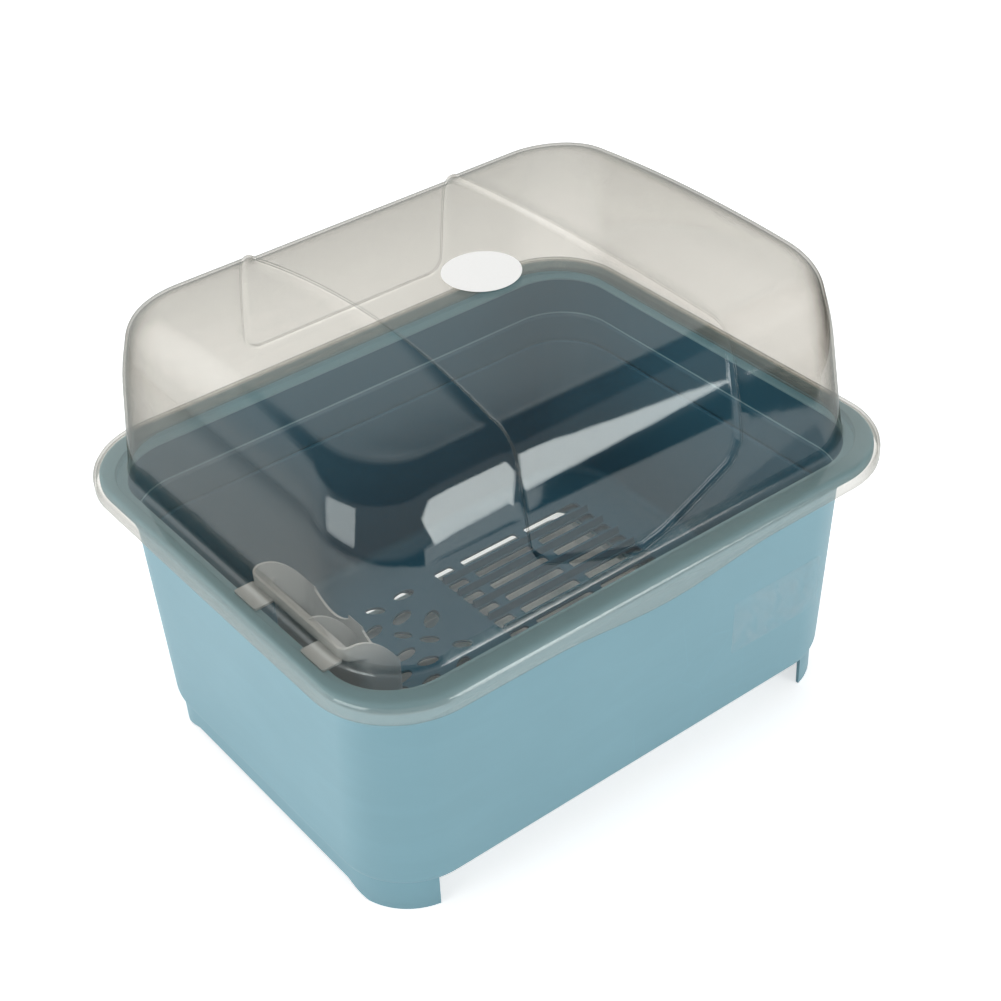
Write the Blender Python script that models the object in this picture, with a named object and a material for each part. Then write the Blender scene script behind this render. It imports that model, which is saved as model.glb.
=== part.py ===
"""Covered dish drainer: a teal basin on four corner feet under a smoky dome lid, with a lift-out
drain basket, a hooked cutlery holder, a drip tray that slides in between two rails, and two labels.
Metres, +Z up. The origin is on the ground under the middle, +X runs along the long side and
-Y is the front, where the lid has its finger grip."""

import math

import bmesh
import bpy
from mathutils import Vector

MM = 0.001

# Facets of a corner, of a lid's side, of a small rounding and of a round disc
CORNER_STEPS = 8
SIDE_STEPS = 3
EDGE_STEPS = 4
HOLE_END_STEPS = 4
DISC_STEPS = 40
# Edges that bend more than this stay sharp in the shading
SHARP_DEGREES = 35

# Length by which a cutter runs past what it cuts
OVERRUN = 4 * MM
# Depth to which a fused rib or skirt is sunk in the plate that carries it
ROOT = 1.2 * MM

# Lid: flange and turned-down lip
LID_LENGTH = 430 * MM
LID_DEPTH = 360 * MM
LID_CORNER = 60 * MM
LID_WALL = 1.8 * MM
LIP_DEPTH = 13 * MM
LIP_FLARE = 0.6 * MM
LIP_ROUNDING = 3 * MM
GRIP_DROP = 7 * MM
GRIP_HALF_WIDTH = 92 * MM

# Lid: dome
DOME_INSET_X = 19.8 * MM
DOME_INSET_Y = 22 * MM
DOME_CORNER = 49 * MM
DOME_SIDE_HEIGHT = 119 * MM
DOME_ROUNDING = 22 * MM
DOME_FILLET = 3 * MM
DOME_CROWN = 10 * MM
DOME_DRAFT_X_SHARE = 0.075
DOME_DRAFT_Y_SHARE = 0.15
DOME_CORNER_TIGHTENING_SHARE = 0.5

# Lid: saddle that runs over the top, and the bibs that end it on the front and the back
SADDLE_DEPTH = 1.8 * MM
SADDLE_SLOPE = 4 * MM
SADDLE_HALF_WIDTH = 82 * MM
SADDLE_HALF_WAIST = 76 * MM
FRONT_BIB_HEIGHT = 6 * MM
FRONT_BIB_ROUNDING = 5 * MM
FRONT_BIB_RISE_SHARE = 0.41
SADDLE_COLUMN_SHARES = (0.68, 0.36)

# Basin: rim, wall and floor
RIM_HEIGHT = 201 * MM
RIM_GAP = 2.4 * MM
RIM_OVERHANG_X = 12.2 * MM
RIM_OVERHANG_Y = 18.4 * MM
RIM_ROLL = 7 * MM
RIM_ROUNDING = 3 * MM
CHANNEL_WIDTH = 7 * MM
CHANNEL_DEPTH = 5.5 * MM
BASIN_CORNER = 45 * MM
BASIN_FOOT_CORNER = 53 * MM
BASIN_WALL = 2.2 * MM
BASIN_FLOOR = 2.4 * MM
BASIN_ROUNDING = 7.5 * MM
BASIN_DRAFT_X_SHARE = 0.006
BASIN_DRAFT_Y_SHARE = 0.052
STEP_DROP = 33 * MM
STEP_WIDTH = 1.6 * MM
STEP_RISE = 3 * MM

# Basin: drain windows in the floor
WINDOW_COLUMNS = 2
WINDOW_ROWS = 1
WINDOW_FIELD_LENGTH = 284 * MM
WINDOW_FIELD_DEPTH = 210 * MM
WINDOW_WEB = 14 * MM
WINDOW_CORNER = 14 * MM

# Basin: feet and the skirts between them
FOOT_HEIGHT = 23.5 * MM
SKIRT_WALL = 2.4 * MM
SKIRT_INSET = 3.6 * MM
SKIRT_CORNER = 46 * MM
SKIRT_ROOT = 2 * MM
SKIRT_DRAFT = 0.5 * MM
FOOT_LONG_ARM = 36 * MM
FOOT_SHORT_ARM = 32 * MM
FOOT_SHORT_SLOPE = 20 * MM
SKIRT_CLEARANCE = 7 * MM

# Drain basket
SEAT_GAP = 0.3 * MM
BASKET_GAP = 2.5 * MM
BASKET_WALL = 1.8 * MM
BASKET_FLOOR = 2 * MM
BASKET_PAD_HEIGHT = 3 * MM
BASKET_PAD_RADIUS = 7 * MM
BASKET_PAD_INSET = 30 * MM
BASKET_HEIGHT = 120 * MM
BASKET_LIP = 1.4 * MM
BASKET_LIP_HEIGHT = 3 * MM
BASKET_ROUNDING = 9 * MM

# Drain basket: holes and plate ribs
HOLE_ROWS = 11
HOLE_ROW_PITCH = 18 * MM
SLOT_WIDTH = 11 * MM
SLOT_SHORT = 16 * MM
SLOT_LONG = 52 * MM
SLOT_CORNER = 3 * MM
SLOT_FIELD_START = 14 * MM
SLOT_LAND = 8 * MM
PEBBLE_COLUMNS = 5
PEBBLE_PITCH = 27 * MM
PEBBLE_FIELD_START = 16 * MM
PEBBLE_LENGTH = 19 * MM
PEBBLE_WIDTH = 10 * MM
PEBBLE_SIZE_SHARES = (1.0, 0.68, 1.12, 0.8, 0.9)
PEBBLE_TURNS = (0.35, -0.5, 0.1, 0.9, -0.2, 0.6, -0.8)
PEBBLE_STAGGER_SHARE = 0.5
RIB_WIDTH = 5 * MM
RIB_HEIGHT = 6 * MM
RIB_TOP_SHARE = 0.4

# Cutlery holder
HOLDER_WIDTH = 30 * MM
HOLDER_FAR_END = -11 * MM
HOLDER_FAR_POCKET = 51 * MM
HOLDER_NEAR_POCKET = 50 * MM
HOLDER_WALL = 1.6 * MM
HOLDER_CORNER = 7 * MM
HOLDER_BOTTOM = 75 * MM
HOLDER_RIM_GAP = 9 * MM
HOLDER_DRAFT_SHARE = 0.01
COLLAR_LEAN = 11 * MM
COLLAR_HEIGHT = 5 * MM
WAVE_START = 3 * MM
WAVE_CREST = 4.2 * MM
WAVE_FALL = 33 * MM
WAVE_CREST_SHARE = 0.16
WAVE_STEPS = 12
DIVIDER_DROP = 11 * MM
DIVIDER_SEAT_SHARE = 0.45
SCALLOP_DEPTH = 7 * MM
HOOK_WIDTH = 24 * MM
HOOK_THICKNESS = 1.4 * MM
HOOK_SPREAD = 72 * MM
HOOK_GAP = 3 * MM
HOLDER_SLOT_WIDTH = 4 * MM
HOLDER_SLOT_PITCH = 9 * MM
HOLDER_SLOT_MARGIN = 7 * MM

# Drip tray
TRAY_LENGTH = 300 * MM
TRAY_DEPTH = 220 * MM
TRAY_HEIGHT = 12 * MM
TRAY_WALL = 1.6 * MM
TRAY_CORNER = 18 * MM
TRAY_RIM = 4 * MM
TRAY_DRAFT_SHARE = 0.25
TRAY_GROUND_GAP = 0.3 * MM
TRAY_PULL_WIDTH = 70 * MM
TRAY_PULL_REACH = 6 * MM

# Rails under the basin's floor between which the drip tray slides
RAIL_WALL = 2.4 * MM
RAIL_DEPTH = 14 * MM
RAIL_LENGTH = 200 * MM
RAIL_SIDE_GAP = 0.4 * MM

# Labels
LABEL_THICKNESS = 0.25 * MM
ROUND_LABEL_RADIUS = 25 * MM
ROUND_LABEL_X = 6 * MM
FILM_LENGTH = 78 * MM
FILM_HEIGHT = 44 * MM
FILM_INSET = 76 * MM
FILM_Z = 97 * MM

# Sizes that follow from the ones above
FLANGE_UNDERSIDE = RIM_HEIGHT + SEAT_GAP
FLANGE_TOP = FLANGE_UNDERSIDE + LID_WALL
RIM_HALF_X = LID_LENGTH / 2 - LID_WALL - RIM_GAP
RIM_HALF_Y = LID_DEPTH / 2 - LID_WALL - RIM_GAP
RIM_CORNER = LID_CORNER - LID_WALL - RIM_GAP
DOME_HALF_X = LID_LENGTH / 2 - DOME_INSET_X
DOME_HALF_Y = LID_DEPTH / 2 - DOME_INSET_Y
DOME_TOP = FLANGE_TOP + DOME_SIDE_HEIGHT
CHANNEL_HEIGHT = RIM_HEIGHT - CHANNEL_DEPTH
STEP_HEIGHT = RIM_HEIGHT - STEP_DROP
BASIN_INSIDE = FOOT_HEIGHT + BASIN_FLOOR
BASKET_FLOOR_UNDERSIDE = BASIN_INSIDE + SEAT_GAP + BASKET_PAD_HEIGHT
BASKET_FLOOR_TOP = BASKET_FLOOR_UNDERSIDE + BASKET_FLOOR
BASKET_TOP = BASIN_INSIDE + SEAT_GAP + BASKET_HEIGHT
TRAY_HALF_X = TRAY_LENGTH / 2
TRAY_HALF_Y = TRAY_DEPTH / 2


def clear_scene():
    for item in list(bpy.data.objects):
        bpy.data.objects.remove(item, do_unlink=True)


def plastic(name, colour, roughness, alpha=1.0):
    """A Principled material in one plain plastic colour."""
    material = bpy.data.materials.new(name)
    material.use_nodes = True
    shader = material.node_tree.nodes["Principled BSDF"]
    shader.inputs["Base Color"].default_value = (*colour, 1.0)
    shader.inputs["Roughness"].default_value = roughness
    shader.inputs["Metallic"].default_value = 0.0
    shader.inputs["Alpha"].default_value = alpha
    material.diffuse_color = (*colour, alpha)
    return material


def add_object(name, mesh, material=None):
    """Links a mesh as an object, shaded smooth but for its sharp edges."""
    mesh.shade_smooth()
    mesh.set_sharp_from_angle(angle=math.radians(SHARP_DEGREES))
    if material:
        mesh.materials.append(material)
    item = bpy.data.objects.new(name, mesh)
    bpy.context.scene.collection.objects.link(item)
    return item


def combine(target, operand, operation):
    """Unites the operand with the target, or cuts it out, with a live Boolean modifier."""
    operand.hide_render = True
    operand.display_type = "WIRE"
    modifier = target.modifiers.new(operation.title() + " " + operand.name, "BOOLEAN")
    modifier.operation = operation
    modifier.solver = "EXACT"
    modifier.object = operand


def finish_mesh(name, body):
    mesh = bpy.data.meshes.new(name)
    body.to_mesh(mesh)
    body.free()
    return mesh


def ring(half_x, half_y, radius, height):
    """A rounded rectangle, counter-clockwise from above, starting at the front right corner."""
    points = []
    for side_x, side_y, start in ((1, -1, -90), (1, 1, 0), (-1, 1, 90), (-1, -1, 180)):
        for step in range(CORNER_STEPS + 1):
            angle = math.radians(start + 90 * step / CORNER_STEPS)
            x = side_x * (half_x - radius) + radius * math.cos(angle)
            y = side_y * (half_y - radius) + radius * math.sin(angle)
            points.append(Vector((x, y, height)))
    return points


def flat_cap(body, loop):
    body.faces.new(loop)


def loft(name, rings, first_cap=flat_cap, last_cap=flat_cap):
    """Bridges a chain of rings and closes both ends, the first one facing backwards."""
    body = bmesh.new()
    loops = [[body.verts.new(point) for point in points] for points in rings]
    count = len(loops[0])
    for low, high in zip(loops, loops[1:]):
        for i in range(count):
            j = (i + 1) % count
            body.faces.new((low[i], low[j], high[j], high[i]))
    first_cap(body, loops[0][::-1])
    last_cap(body, loops[-1])
    return finish_mesh(name, body)


def prism(name, outline, low, high, lift):
    """A prism on an outline of (u, v) pairs. lift(u, v, w) places a point, with w low or high."""
    body = bmesh.new()
    near = [body.verts.new(lift(u, v, low)) for u, v in outline]
    far = [body.verts.new(lift(u, v, high)) for u, v in outline]
    count = len(outline)
    for i in range(count):
        j = (i + 1) % count
        body.faces.new((near[i], near[j], far[j], far[i]))
    body.faces.new(near[::-1])
    body.faces.new(far)
    bmesh.ops.recalc_face_normals(body, faces=body.faces)
    return finish_mesh(name, body)


def joined(name, meshes):
    """One mesh of several separate solids, for a single boolean."""
    body = bmesh.new()
    for mesh in meshes:
        body.from_mesh(mesh)
        bpy.data.meshes.remove(mesh)
    return finish_mesh(name, body)


def upright(u, v, w):
    return Vector((u, v, w))


def along_x(u, v, w):
    return Vector((w, u, v))


def along_y(u, v, w):
    return Vector((u, w, v))


def rectangle(centre_u, centre_v, half_u, half_v):
    corners = ((-1, -1), (1, -1), (1, 1), (-1, 1))
    return [(centre_u + u * half_u, centre_v + v * half_v) for u, v in corners]


def oblong(centre_u, centre_v, half_length, half_width):
    """A slot with half-round ends."""
    straight = half_length - half_width
    points = []
    for side, start in ((1, -90), (-1, 90)):
        for step in range(HOLE_END_STEPS + 1):
            angle = math.radians(start + 180 * step / HOLE_END_STEPS)
            u = centre_u + side * straight + half_width * math.cos(angle)
            v = centre_v + half_width * math.sin(angle)
            points.append((u, v))
    return points


def rounded_rectangle(centre_u, centre_v, half_u, half_v, radius):
    return [(centre_u + p.x, centre_v + p.y) for p in ring(half_u, half_v, radius, 0)]


def ellipse(centre_u, centre_v, half_length, half_width, turn):
    points = []
    count = HOLE_END_STEPS * 2
    for step in range(count):
        angle = math.tau * step / count
        u = half_length * math.cos(angle)
        v = half_width * math.sin(angle)
        turned_u = u * math.cos(turn) - v * math.sin(turn)
        turned_v = u * math.sin(turn) + v * math.cos(turn)
        points.append((centre_u + turned_u, centre_v + turned_v))
    return points


# Lid
def bib_height(x, front):
    """Height above the flange at which the saddle starts, on the front or elsewhere."""
    reach = abs(x) if front else SADDLE_HALF_WIDTH
    rise = math.hypot(FRONT_BIB_ROUNDING, FRONT_BIB_RISE_SHARE * reach)
    return FRONT_BIB_HEIGHT - FRONT_BIB_ROUNDING + rise


def saddle_columns(half_width):
    """The X places of the saddle's edges, slopes and inner columns, from left to right."""
    floor = half_width - SADDLE_SLOPE
    right = [floor * share for share in SADDLE_COLUMN_SHARES[::-1]] + [floor, half_width]
    return [-x for x in right[::-1]] + [0.0] + right


def with_side(first_arc, second_arc):
    """Two corner arcs with evenly spaced points on the straight side between them."""
    share = 1 / (SIDE_STEPS + 1)
    between = [first_arc[-1].lerp(second_arc[0], step * share) for step in range(1, SIDE_STEPS + 1)]
    return first_arc + between + second_arc


def side_count():
    return 2 * (CORNER_STEPS + 1) + SIDE_STEPS


def lid_ring(half_x, half_y, radius, height):
    """A ring whose front and back also carry the saddle's columns. height(x, y, front) gives Z."""
    corners = ring(half_x, half_y, radius, 0)
    arc = CORNER_STEPS + 1
    right = with_side(corners[:arc], corners[arc : 2 * arc])
    left = with_side(corners[2 * arc : 3 * arc], corners[3 * arc :])
    columns = saddle_columns(SADDLE_HALF_WIDTH)
    front = [Vector((x, -half_y, 0)) for x in columns]
    back = [Vector((x, half_y, 0)) for x in reversed(columns)]
    points = front + right + back + left
    for index, point in enumerate(points):
        point.z = height(point.x, point.y, index < len(columns))
    return points


def in_saddle(index):
    """True for the columns of a lid ring that lie on the saddle's floor."""
    count = len(saddle_columns(SADDLE_HALF_WIDTH))
    place = index % (count + side_count())
    return 0 < place < count - 1


def crown(y, half_y):
    return DOME_CROWN * (1 - (y / half_y) ** 2)


def dome_ring(rise, angle, offset, saddle, bib_lift=None):
    """A ring of the dome. rise is the height above the flange on the side wall, angle is how far
    the wall has turned into the top, offset is the depth under the outer skin, and bib_lift, if
    given, puts the ring that far above the saddle's lower edge instead."""
    turned = DOME_ROUNDING * (1 - math.cos(angle))
    climbed = DOME_ROUNDING * math.sin(angle)
    crown_share = math.sin(angle)

    def level(x, y, front):
        return rise if bib_lift is None else bib_height(x, front) + bib_lift

    def half(depth, height):
        inset = turned + depth * math.cos(angle)
        half_x = DOME_HALF_X - DOME_DRAFT_X_SHARE * height - inset
        half_y = DOME_HALF_Y - DOME_DRAFT_Y_SHARE * height - inset
        return half_x, half_y

    side_level = level(SADDLE_HALF_WIDTH, 0, False)
    half_x, half_y = half(offset, side_level)
    lost = turned * DOME_CORNER_TIGHTENING_SHARE + offset * math.cos(angle)
    points = lid_ring(half_x, half_y, DOME_CORNER - lost, level)
    for index, point in enumerate(points):
        height = point.z
        depth = offset
        if saddle and in_saddle(index):
            depth += SADDLE_DEPTH
        if abs(point.x) <= SADDLE_HALF_WIDTH and abs(point.y) >= half_y:
            point.y = math.copysign(half(depth, height)[1], point.y)
        lift = climbed - depth * math.sin(angle) + crown_share * crown(point.y, half_y)
        point.z = FLANGE_TOP + height + lift
    return points


def dome_rings(offset):
    """The dome's rings from its base to the edge of its top."""
    wall = DOME_SIDE_HEIGHT - DOME_ROUNDING
    shoulder = bib_height(SADDLE_HALF_WIDTH, False)
    middle = (wall + shoulder + SADDLE_SLOPE) / 2
    rings = [
        dome_ring(0, 0, offset, False, 0),
        dome_ring(0, 0, offset, True, SADDLE_SLOPE),
        dome_ring(middle, 0, offset, True),
    ]
    for step in range(EDGE_STEPS + 1):
        angle = math.pi / 2 * step / EDGE_STEPS
        rings.append(dome_ring(wall, angle, offset, True))
    return rings


def dome_cap(offset, facing_down):
    """Fills the top of the dome with a grid that carries the crown, the saddle and its waist."""

    def fill(body, loop):
        edge = loop[::-1] if facing_down else loop
        columns = saddle_columns(SADDLE_HALF_WIDTH)
        count = len(columns)
        span = side_count()
        front = edge[:count]
        right = edge[count : count + span]
        back = edge[count + span : 2 * count + span][::-1]
        left = edge[2 * count + span :][::-1]
        half_y = back[0].co.y
        rows = [[left[0], *front, right[0]]]
        for outer_left, outer_right in zip(left[1:-1], right[1:-1]):
            y = outer_right.co.y
            waist = SADDLE_HALF_WIDTH - SADDLE_HALF_WAIST
            half_width = SADDLE_HALF_WAIST + waist * (y / half_y) ** 2
            row = [outer_left]
            for index, x in enumerate(saddle_columns(half_width)):
                sunk = SADDLE_DEPTH if in_saddle(index) else 0.0
                z = DOME_TOP + crown(y, half_y) - offset - sunk
                row.append(body.verts.new((x, y, z)))
            rows.append([*row, outer_right])
        rows.append([left[-1], *back, right[-1]])
        for low, high in zip(rows, rows[1:]):
            for i in range(len(low) - 1):
                corners = (low[i], low[i + 1], high[i + 1], high[i])
                body.faces.new(corners[::-1] if facing_down else corners)

    return fill


def flange_ring(inset, height):
    """A ring of the lid's flange or lip, at a height above the ground."""
    half_x = LID_LENGTH / 2 - inset
    half_y = LID_DEPTH / 2 - inset
    return lid_ring(half_x, half_y, LID_CORNER - inset, lambda x, y, front: height)


def lip_edge_ring(inset):
    """The lip's lower edge, which drops in the middle of the front as a finger grip."""

    def height(x, y, front):
        drop = 0.0
        if front and abs(x) < GRIP_HALF_WIDTH:
            drop = GRIP_DROP * math.cos(math.pi / 2 * x / GRIP_HALF_WIDTH) ** 2
        return FLANGE_TOP - LIP_DEPTH - drop

    half_x = LID_LENGTH / 2 - inset
    half_y = LID_DEPTH / 2 - inset
    return lid_ring(half_x, half_y, LID_CORNER - inset, height)


def base_ring(widening, height):
    """A ring where the dome meets the flange, wider than the dome's base by the given amount."""
    half_x = DOME_HALF_X + widening
    half_y = DOME_HALF_Y + widening
    return lid_ring(half_x, half_y, DOME_CORNER + widening, lambda x, y, front: height)


def make_lid(material):
    inner = dome_rings(LID_WALL)[::-1]
    inner.append(base_ring(-LID_WALL, FLANGE_TOP))
    inner.append(base_ring(DOME_FILLET - LID_WALL, FLANGE_UNDERSIDE))
    inner.append(flange_ring(LIP_ROUNDING, FLANGE_UNDERSIDE))
    inner.append(flange_ring(LID_WALL, FLANGE_TOP - LIP_ROUNDING))
    inner.append(lip_edge_ring(LID_WALL - LIP_FLARE))
    softened = LIP_ROUNDING * (1 - math.cos(math.pi / 4))
    eased = DOME_FILLET * (1 - math.cos(math.pi / 4))
    outer = [
        lip_edge_ring(0),
        flange_ring(0, FLANGE_TOP - LIP_ROUNDING),
        flange_ring(softened, FLANGE_TOP - softened),
        flange_ring(LIP_ROUNDING, FLANGE_TOP),
        base_ring(DOME_FILLET, FLANGE_TOP),
        base_ring(eased, FLANGE_TOP + eased),
        base_ring(-DOME_DRAFT_X_SHARE * DOME_FILLET, FLANGE_TOP + DOME_FILLET),
    ]
    outer += dome_rings(0)
    mesh = loft("lid", inner + outer, dome_cap(LID_WALL, True), dome_cap(0, False))
    return add_object("lid", mesh, material)


def make_lid_label(material):
    """A paper disc that follows the crown of the saddle's floor."""
    half_y = DOME_HALF_Y - DOME_DRAFT_Y_SHARE * (DOME_SIDE_HEIGHT - DOME_ROUNDING) - DOME_ROUNDING
    seat = DOME_TOP - SADDLE_DEPTH + SEAT_GAP
    body = bmesh.new()
    rims = []
    for thickness in (0.0, LABEL_THICKNESS):
        rim = []
        for step in range(DISC_STEPS):
            angle = math.tau * step / DISC_STEPS
            y = ROUND_LABEL_RADIUS * math.sin(angle)
            z = seat + thickness + crown(y, half_y)
            rim.append(body.verts.new((ROUND_LABEL_RADIUS * math.cos(angle), y, z)))
        rims.append(rim)
    low, high = rims
    half = DISC_STEPS // 2
    quarter = half // 2
    order = [(quarter + i) % DISC_STEPS for i in range(half + 1)]
    mirror = [(quarter - i) % DISC_STEPS for i in range(half + 1)]
    for rim, upwards in ((low, False), (high, True)):
        for (a, b), (c, d) in zip(zip(order, order[1:]), zip(mirror, mirror[1:])):
            corners = []
            for index in (a, b, d, c):
                if rim[index] not in corners:
                    corners.append(rim[index])
            body.faces.new(corners if upwards else corners[::-1])
    for i in range(DISC_STEPS):
        j = (i + 1) % DISC_STEPS
        body.faces.new((low[i], low[j], high[j], high[i]))
    label = add_object("lid_label", finish_mesh("lid_label", body), material)
    label.location.x = ROUND_LABEL_X
    return label


# Basin
def basin_half(height, depth=0.0):
    """Half sizes and corner radius of the basin's wall at a height, at a depth under its skin."""
    fall = RIM_HEIGHT - height
    step = STEP_WIDTH * min(max((STEP_HEIGHT - height) / STEP_RISE, 0.0), 1.0)
    grown = (BASIN_FOOT_CORNER - BASIN_CORNER) * fall / (RIM_HEIGHT - FOOT_HEIGHT)
    inset = step + depth
    half_x = RIM_HALF_X - RIM_OVERHANG_X - BASIN_DRAFT_X_SHARE * fall - inset
    half_y = RIM_HALF_Y - RIM_OVERHANG_Y - BASIN_DRAFT_Y_SHARE * fall - inset
    return half_x, half_y, BASIN_CORNER + grown - inset


def wall_ring(height, depth=0.0):
    return ring(*basin_half(height, depth), height)


def rim_ring(inset, height):
    return ring(RIM_HALF_X - inset, RIM_HALF_Y - inset, RIM_CORNER - inset, height)


def channel_ring(widening, height):
    """A ring of the channel just outside the top of the basin's inner wall."""
    half_x, half_y, radius = basin_half(RIM_HEIGHT, BASIN_WALL)
    return ring(half_x + widening, half_y + widening, radius + widening, height)


def bottom_rounding(radius, depth, floor):
    """Rings of the rounded edge between a floor and the basin's wall, from the floor upwards."""
    rings = []
    for step in range(EDGE_STEPS + 1):
        angle = math.pi / 2 * step / EDGE_STEPS
        inset = radius * (1 - math.sin(angle))
        height = floor + radius * (1 - math.cos(angle))
        rings.append(wall_ring(height, depth + inset))
        for point in rings[-1]:
            point.z = height
    return rings


def make_basin(material):
    inner_round = BASIN_ROUNDING - BASIN_WALL
    channel_underside = CHANNEL_HEIGHT - BASIN_WALL
    roll_bottom = RIM_HEIGHT - RIM_ROLL
    softened = RIM_ROUNDING * (1 - math.cos(math.pi / 4))
    rings = bottom_rounding(BASIN_ROUNDING, 0.0, FOOT_HEIGHT)
    rings += [
        wall_ring(STEP_HEIGHT - STEP_RISE),
        wall_ring(STEP_HEIGHT),
        wall_ring(channel_underside),
        channel_ring(CHANNEL_WIDTH + BASIN_WALL, channel_underside),
        channel_ring(CHANNEL_WIDTH + BASIN_WALL, RIM_HEIGHT - BASIN_WALL),
        rim_ring(BASIN_WALL, RIM_HEIGHT - BASIN_WALL),
        rim_ring(BASIN_WALL, roll_bottom),
        rim_ring(0.0, roll_bottom),
        rim_ring(0.0, RIM_HEIGHT - RIM_ROUNDING),
        rim_ring(softened, RIM_HEIGHT - softened),
        rim_ring(RIM_ROUNDING, RIM_HEIGHT),
        channel_ring(CHANNEL_WIDTH, RIM_HEIGHT),
        channel_ring(CHANNEL_WIDTH, CHANNEL_HEIGHT),
        channel_ring(0.0, CHANNEL_HEIGHT),
        wall_ring(STEP_HEIGHT, BASIN_WALL),
        wall_ring(STEP_HEIGHT - STEP_RISE, BASIN_WALL),
    ]
    rings += bottom_rounding(inner_round, BASIN_WALL, BASIN_INSIDE)[::-1]
    basin = add_object("basin", loft("basin", rings), material)
    combine(basin, make_skirts(), "UNION")
    combine(basin, make_windows(), "DIFFERENCE")
    return basin


def make_skirts():
    """The thin skirt under the basin's edge, cut away into four feet and two low side skirts."""
    half_x, half_y, _ = basin_half(FOOT_HEIGHT, SKIRT_INSET)
    top = FOOT_HEIGHT + SKIRT_ROOT

    def skirt_ring(inset, height):
        return ring(half_x - inset, half_y - inset, SKIRT_CORNER - inset, height)

    rings = [
        skirt_ring(SKIRT_WALL + SKIRT_DRAFT, top),
        skirt_ring(SKIRT_WALL + SKIRT_DRAFT, 0.0),
        skirt_ring(SKIRT_DRAFT, 0.0),
        skirt_ring(0.0, top),
    ]
    body = bmesh.new()
    loops = [[body.verts.new(point) for point in points] for points in rings]
    count = len(loops[0])
    for low, high in zip(loops, loops[1:] + loops[:1]):
        for i in range(count):
            j = (i + 1) % count
            body.faces.new((low[i], low[j], high[j], high[i]))
    skirts = add_object("skirt_guide", finish_mesh("skirt_guide", body))

    long_half = half_x - FOOT_LONG_ARM
    reach_y = half_y + OVERRUN
    opening = rectangle(0, 0, long_half, reach_y)
    long_cut = prism("long_side_cutter", opening, -OVERRUN, top + OVERRUN, upright)
    combine(skirts, add_object("long_side_cutter", long_cut), "DIFFERENCE")

    foot_y = half_y - FOOT_SHORT_ARM
    slope = FOOT_SHORT_SLOPE / SKIRT_CLEARANCE
    outline = [
        (-foot_y - slope * OVERRUN, -OVERRUN),
        (foot_y + slope * OVERRUN, -OVERRUN),
        (foot_y - FOOT_SHORT_SLOPE, SKIRT_CLEARANCE),
        (-foot_y + FOOT_SHORT_SLOPE, SKIRT_CLEARANCE),
    ]
    reach_x = half_x + OVERRUN
    side_cut = prism("short_side_cutter", outline, -reach_x, reach_x, along_x)
    combine(skirts, add_object("short_side_cutter", side_cut), "DIFFERENCE")
    return skirts


def make_windows():
    """Cutters of the wide windows through the basin's floor."""
    meshes = []
    span_x = (WINDOW_FIELD_LENGTH - (WINDOW_COLUMNS - 1) * WINDOW_WEB) / WINDOW_COLUMNS
    span_y = (WINDOW_FIELD_DEPTH - (WINDOW_ROWS - 1) * WINDOW_WEB) / WINDOW_ROWS
    for column in range(WINDOW_COLUMNS):
        for row in range(WINDOW_ROWS):
            x = (column - (WINDOW_COLUMNS - 1) / 2) * (span_x + WINDOW_WEB)
            y = (row - (WINDOW_ROWS - 1) / 2) * (span_y + WINDOW_WEB)
            outline = rounded_rectangle(x, y, span_x / 2, span_y / 2, WINDOW_CORNER)
            low = FOOT_HEIGHT - OVERRUN
            high = BASIN_INSIDE + OVERRUN
            meshes.append(prism("window", outline, low, high, upright))
    return add_object("window_cutter", joined("window_cutter", meshes))


def make_front_label(material):
    """A thin film on the front wall, leaning with the wall's draft."""
    film_x = basin_half(FILM_Z)[0] - FILM_INSET
    low = FILM_Z - FILM_HEIGHT / 2
    high = FILM_Z + FILM_HEIGHT / 2
    body = bmesh.new()
    loops = []
    for gap in (SEAT_GAP, SEAT_GAP + LABEL_THICKNESS):
        loop = []
        for x_side, z in ((-1, low), (1, low), (1, high), (-1, high)):
            wall = basin_half(z)[1]
            x = film_x + x_side * FILM_LENGTH / 2
            loop.append(body.verts.new((x, -wall - gap, z)))
        loops.append(loop)
    back, front = loops
    for i in range(4):
        j = (i + 1) % 4
        body.faces.new((back[i], back[j], front[j], front[i]))
    body.faces.new(back[::-1])
    body.faces.new(front)
    bmesh.ops.recalc_face_normals(body, faces=body.faces)
    return add_object("front_label", finish_mesh("front_label", body), material)


# Drain basket
def basket_ring(height, inset):
    """A ring of the basket, inset from its outer wall, which follows the basin's inner wall."""
    depth = BASIN_WALL + BASKET_GAP + inset
    lower_wall = min(height, STEP_HEIGHT - STEP_RISE)
    half_x, half_y, radius = basin_half(lower_wall, depth)
    return ring(half_x, half_y, radius, height)


def basket_rounding(radius, inset, floor):
    rings = []
    for step in range(EDGE_STEPS):
        angle = math.pi / 2 * step / EDGE_STEPS
        height = floor + radius * (1 - math.cos(angle))
        rings.append(basket_ring(height, inset + radius * (1 - math.sin(angle))))
    return rings


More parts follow.
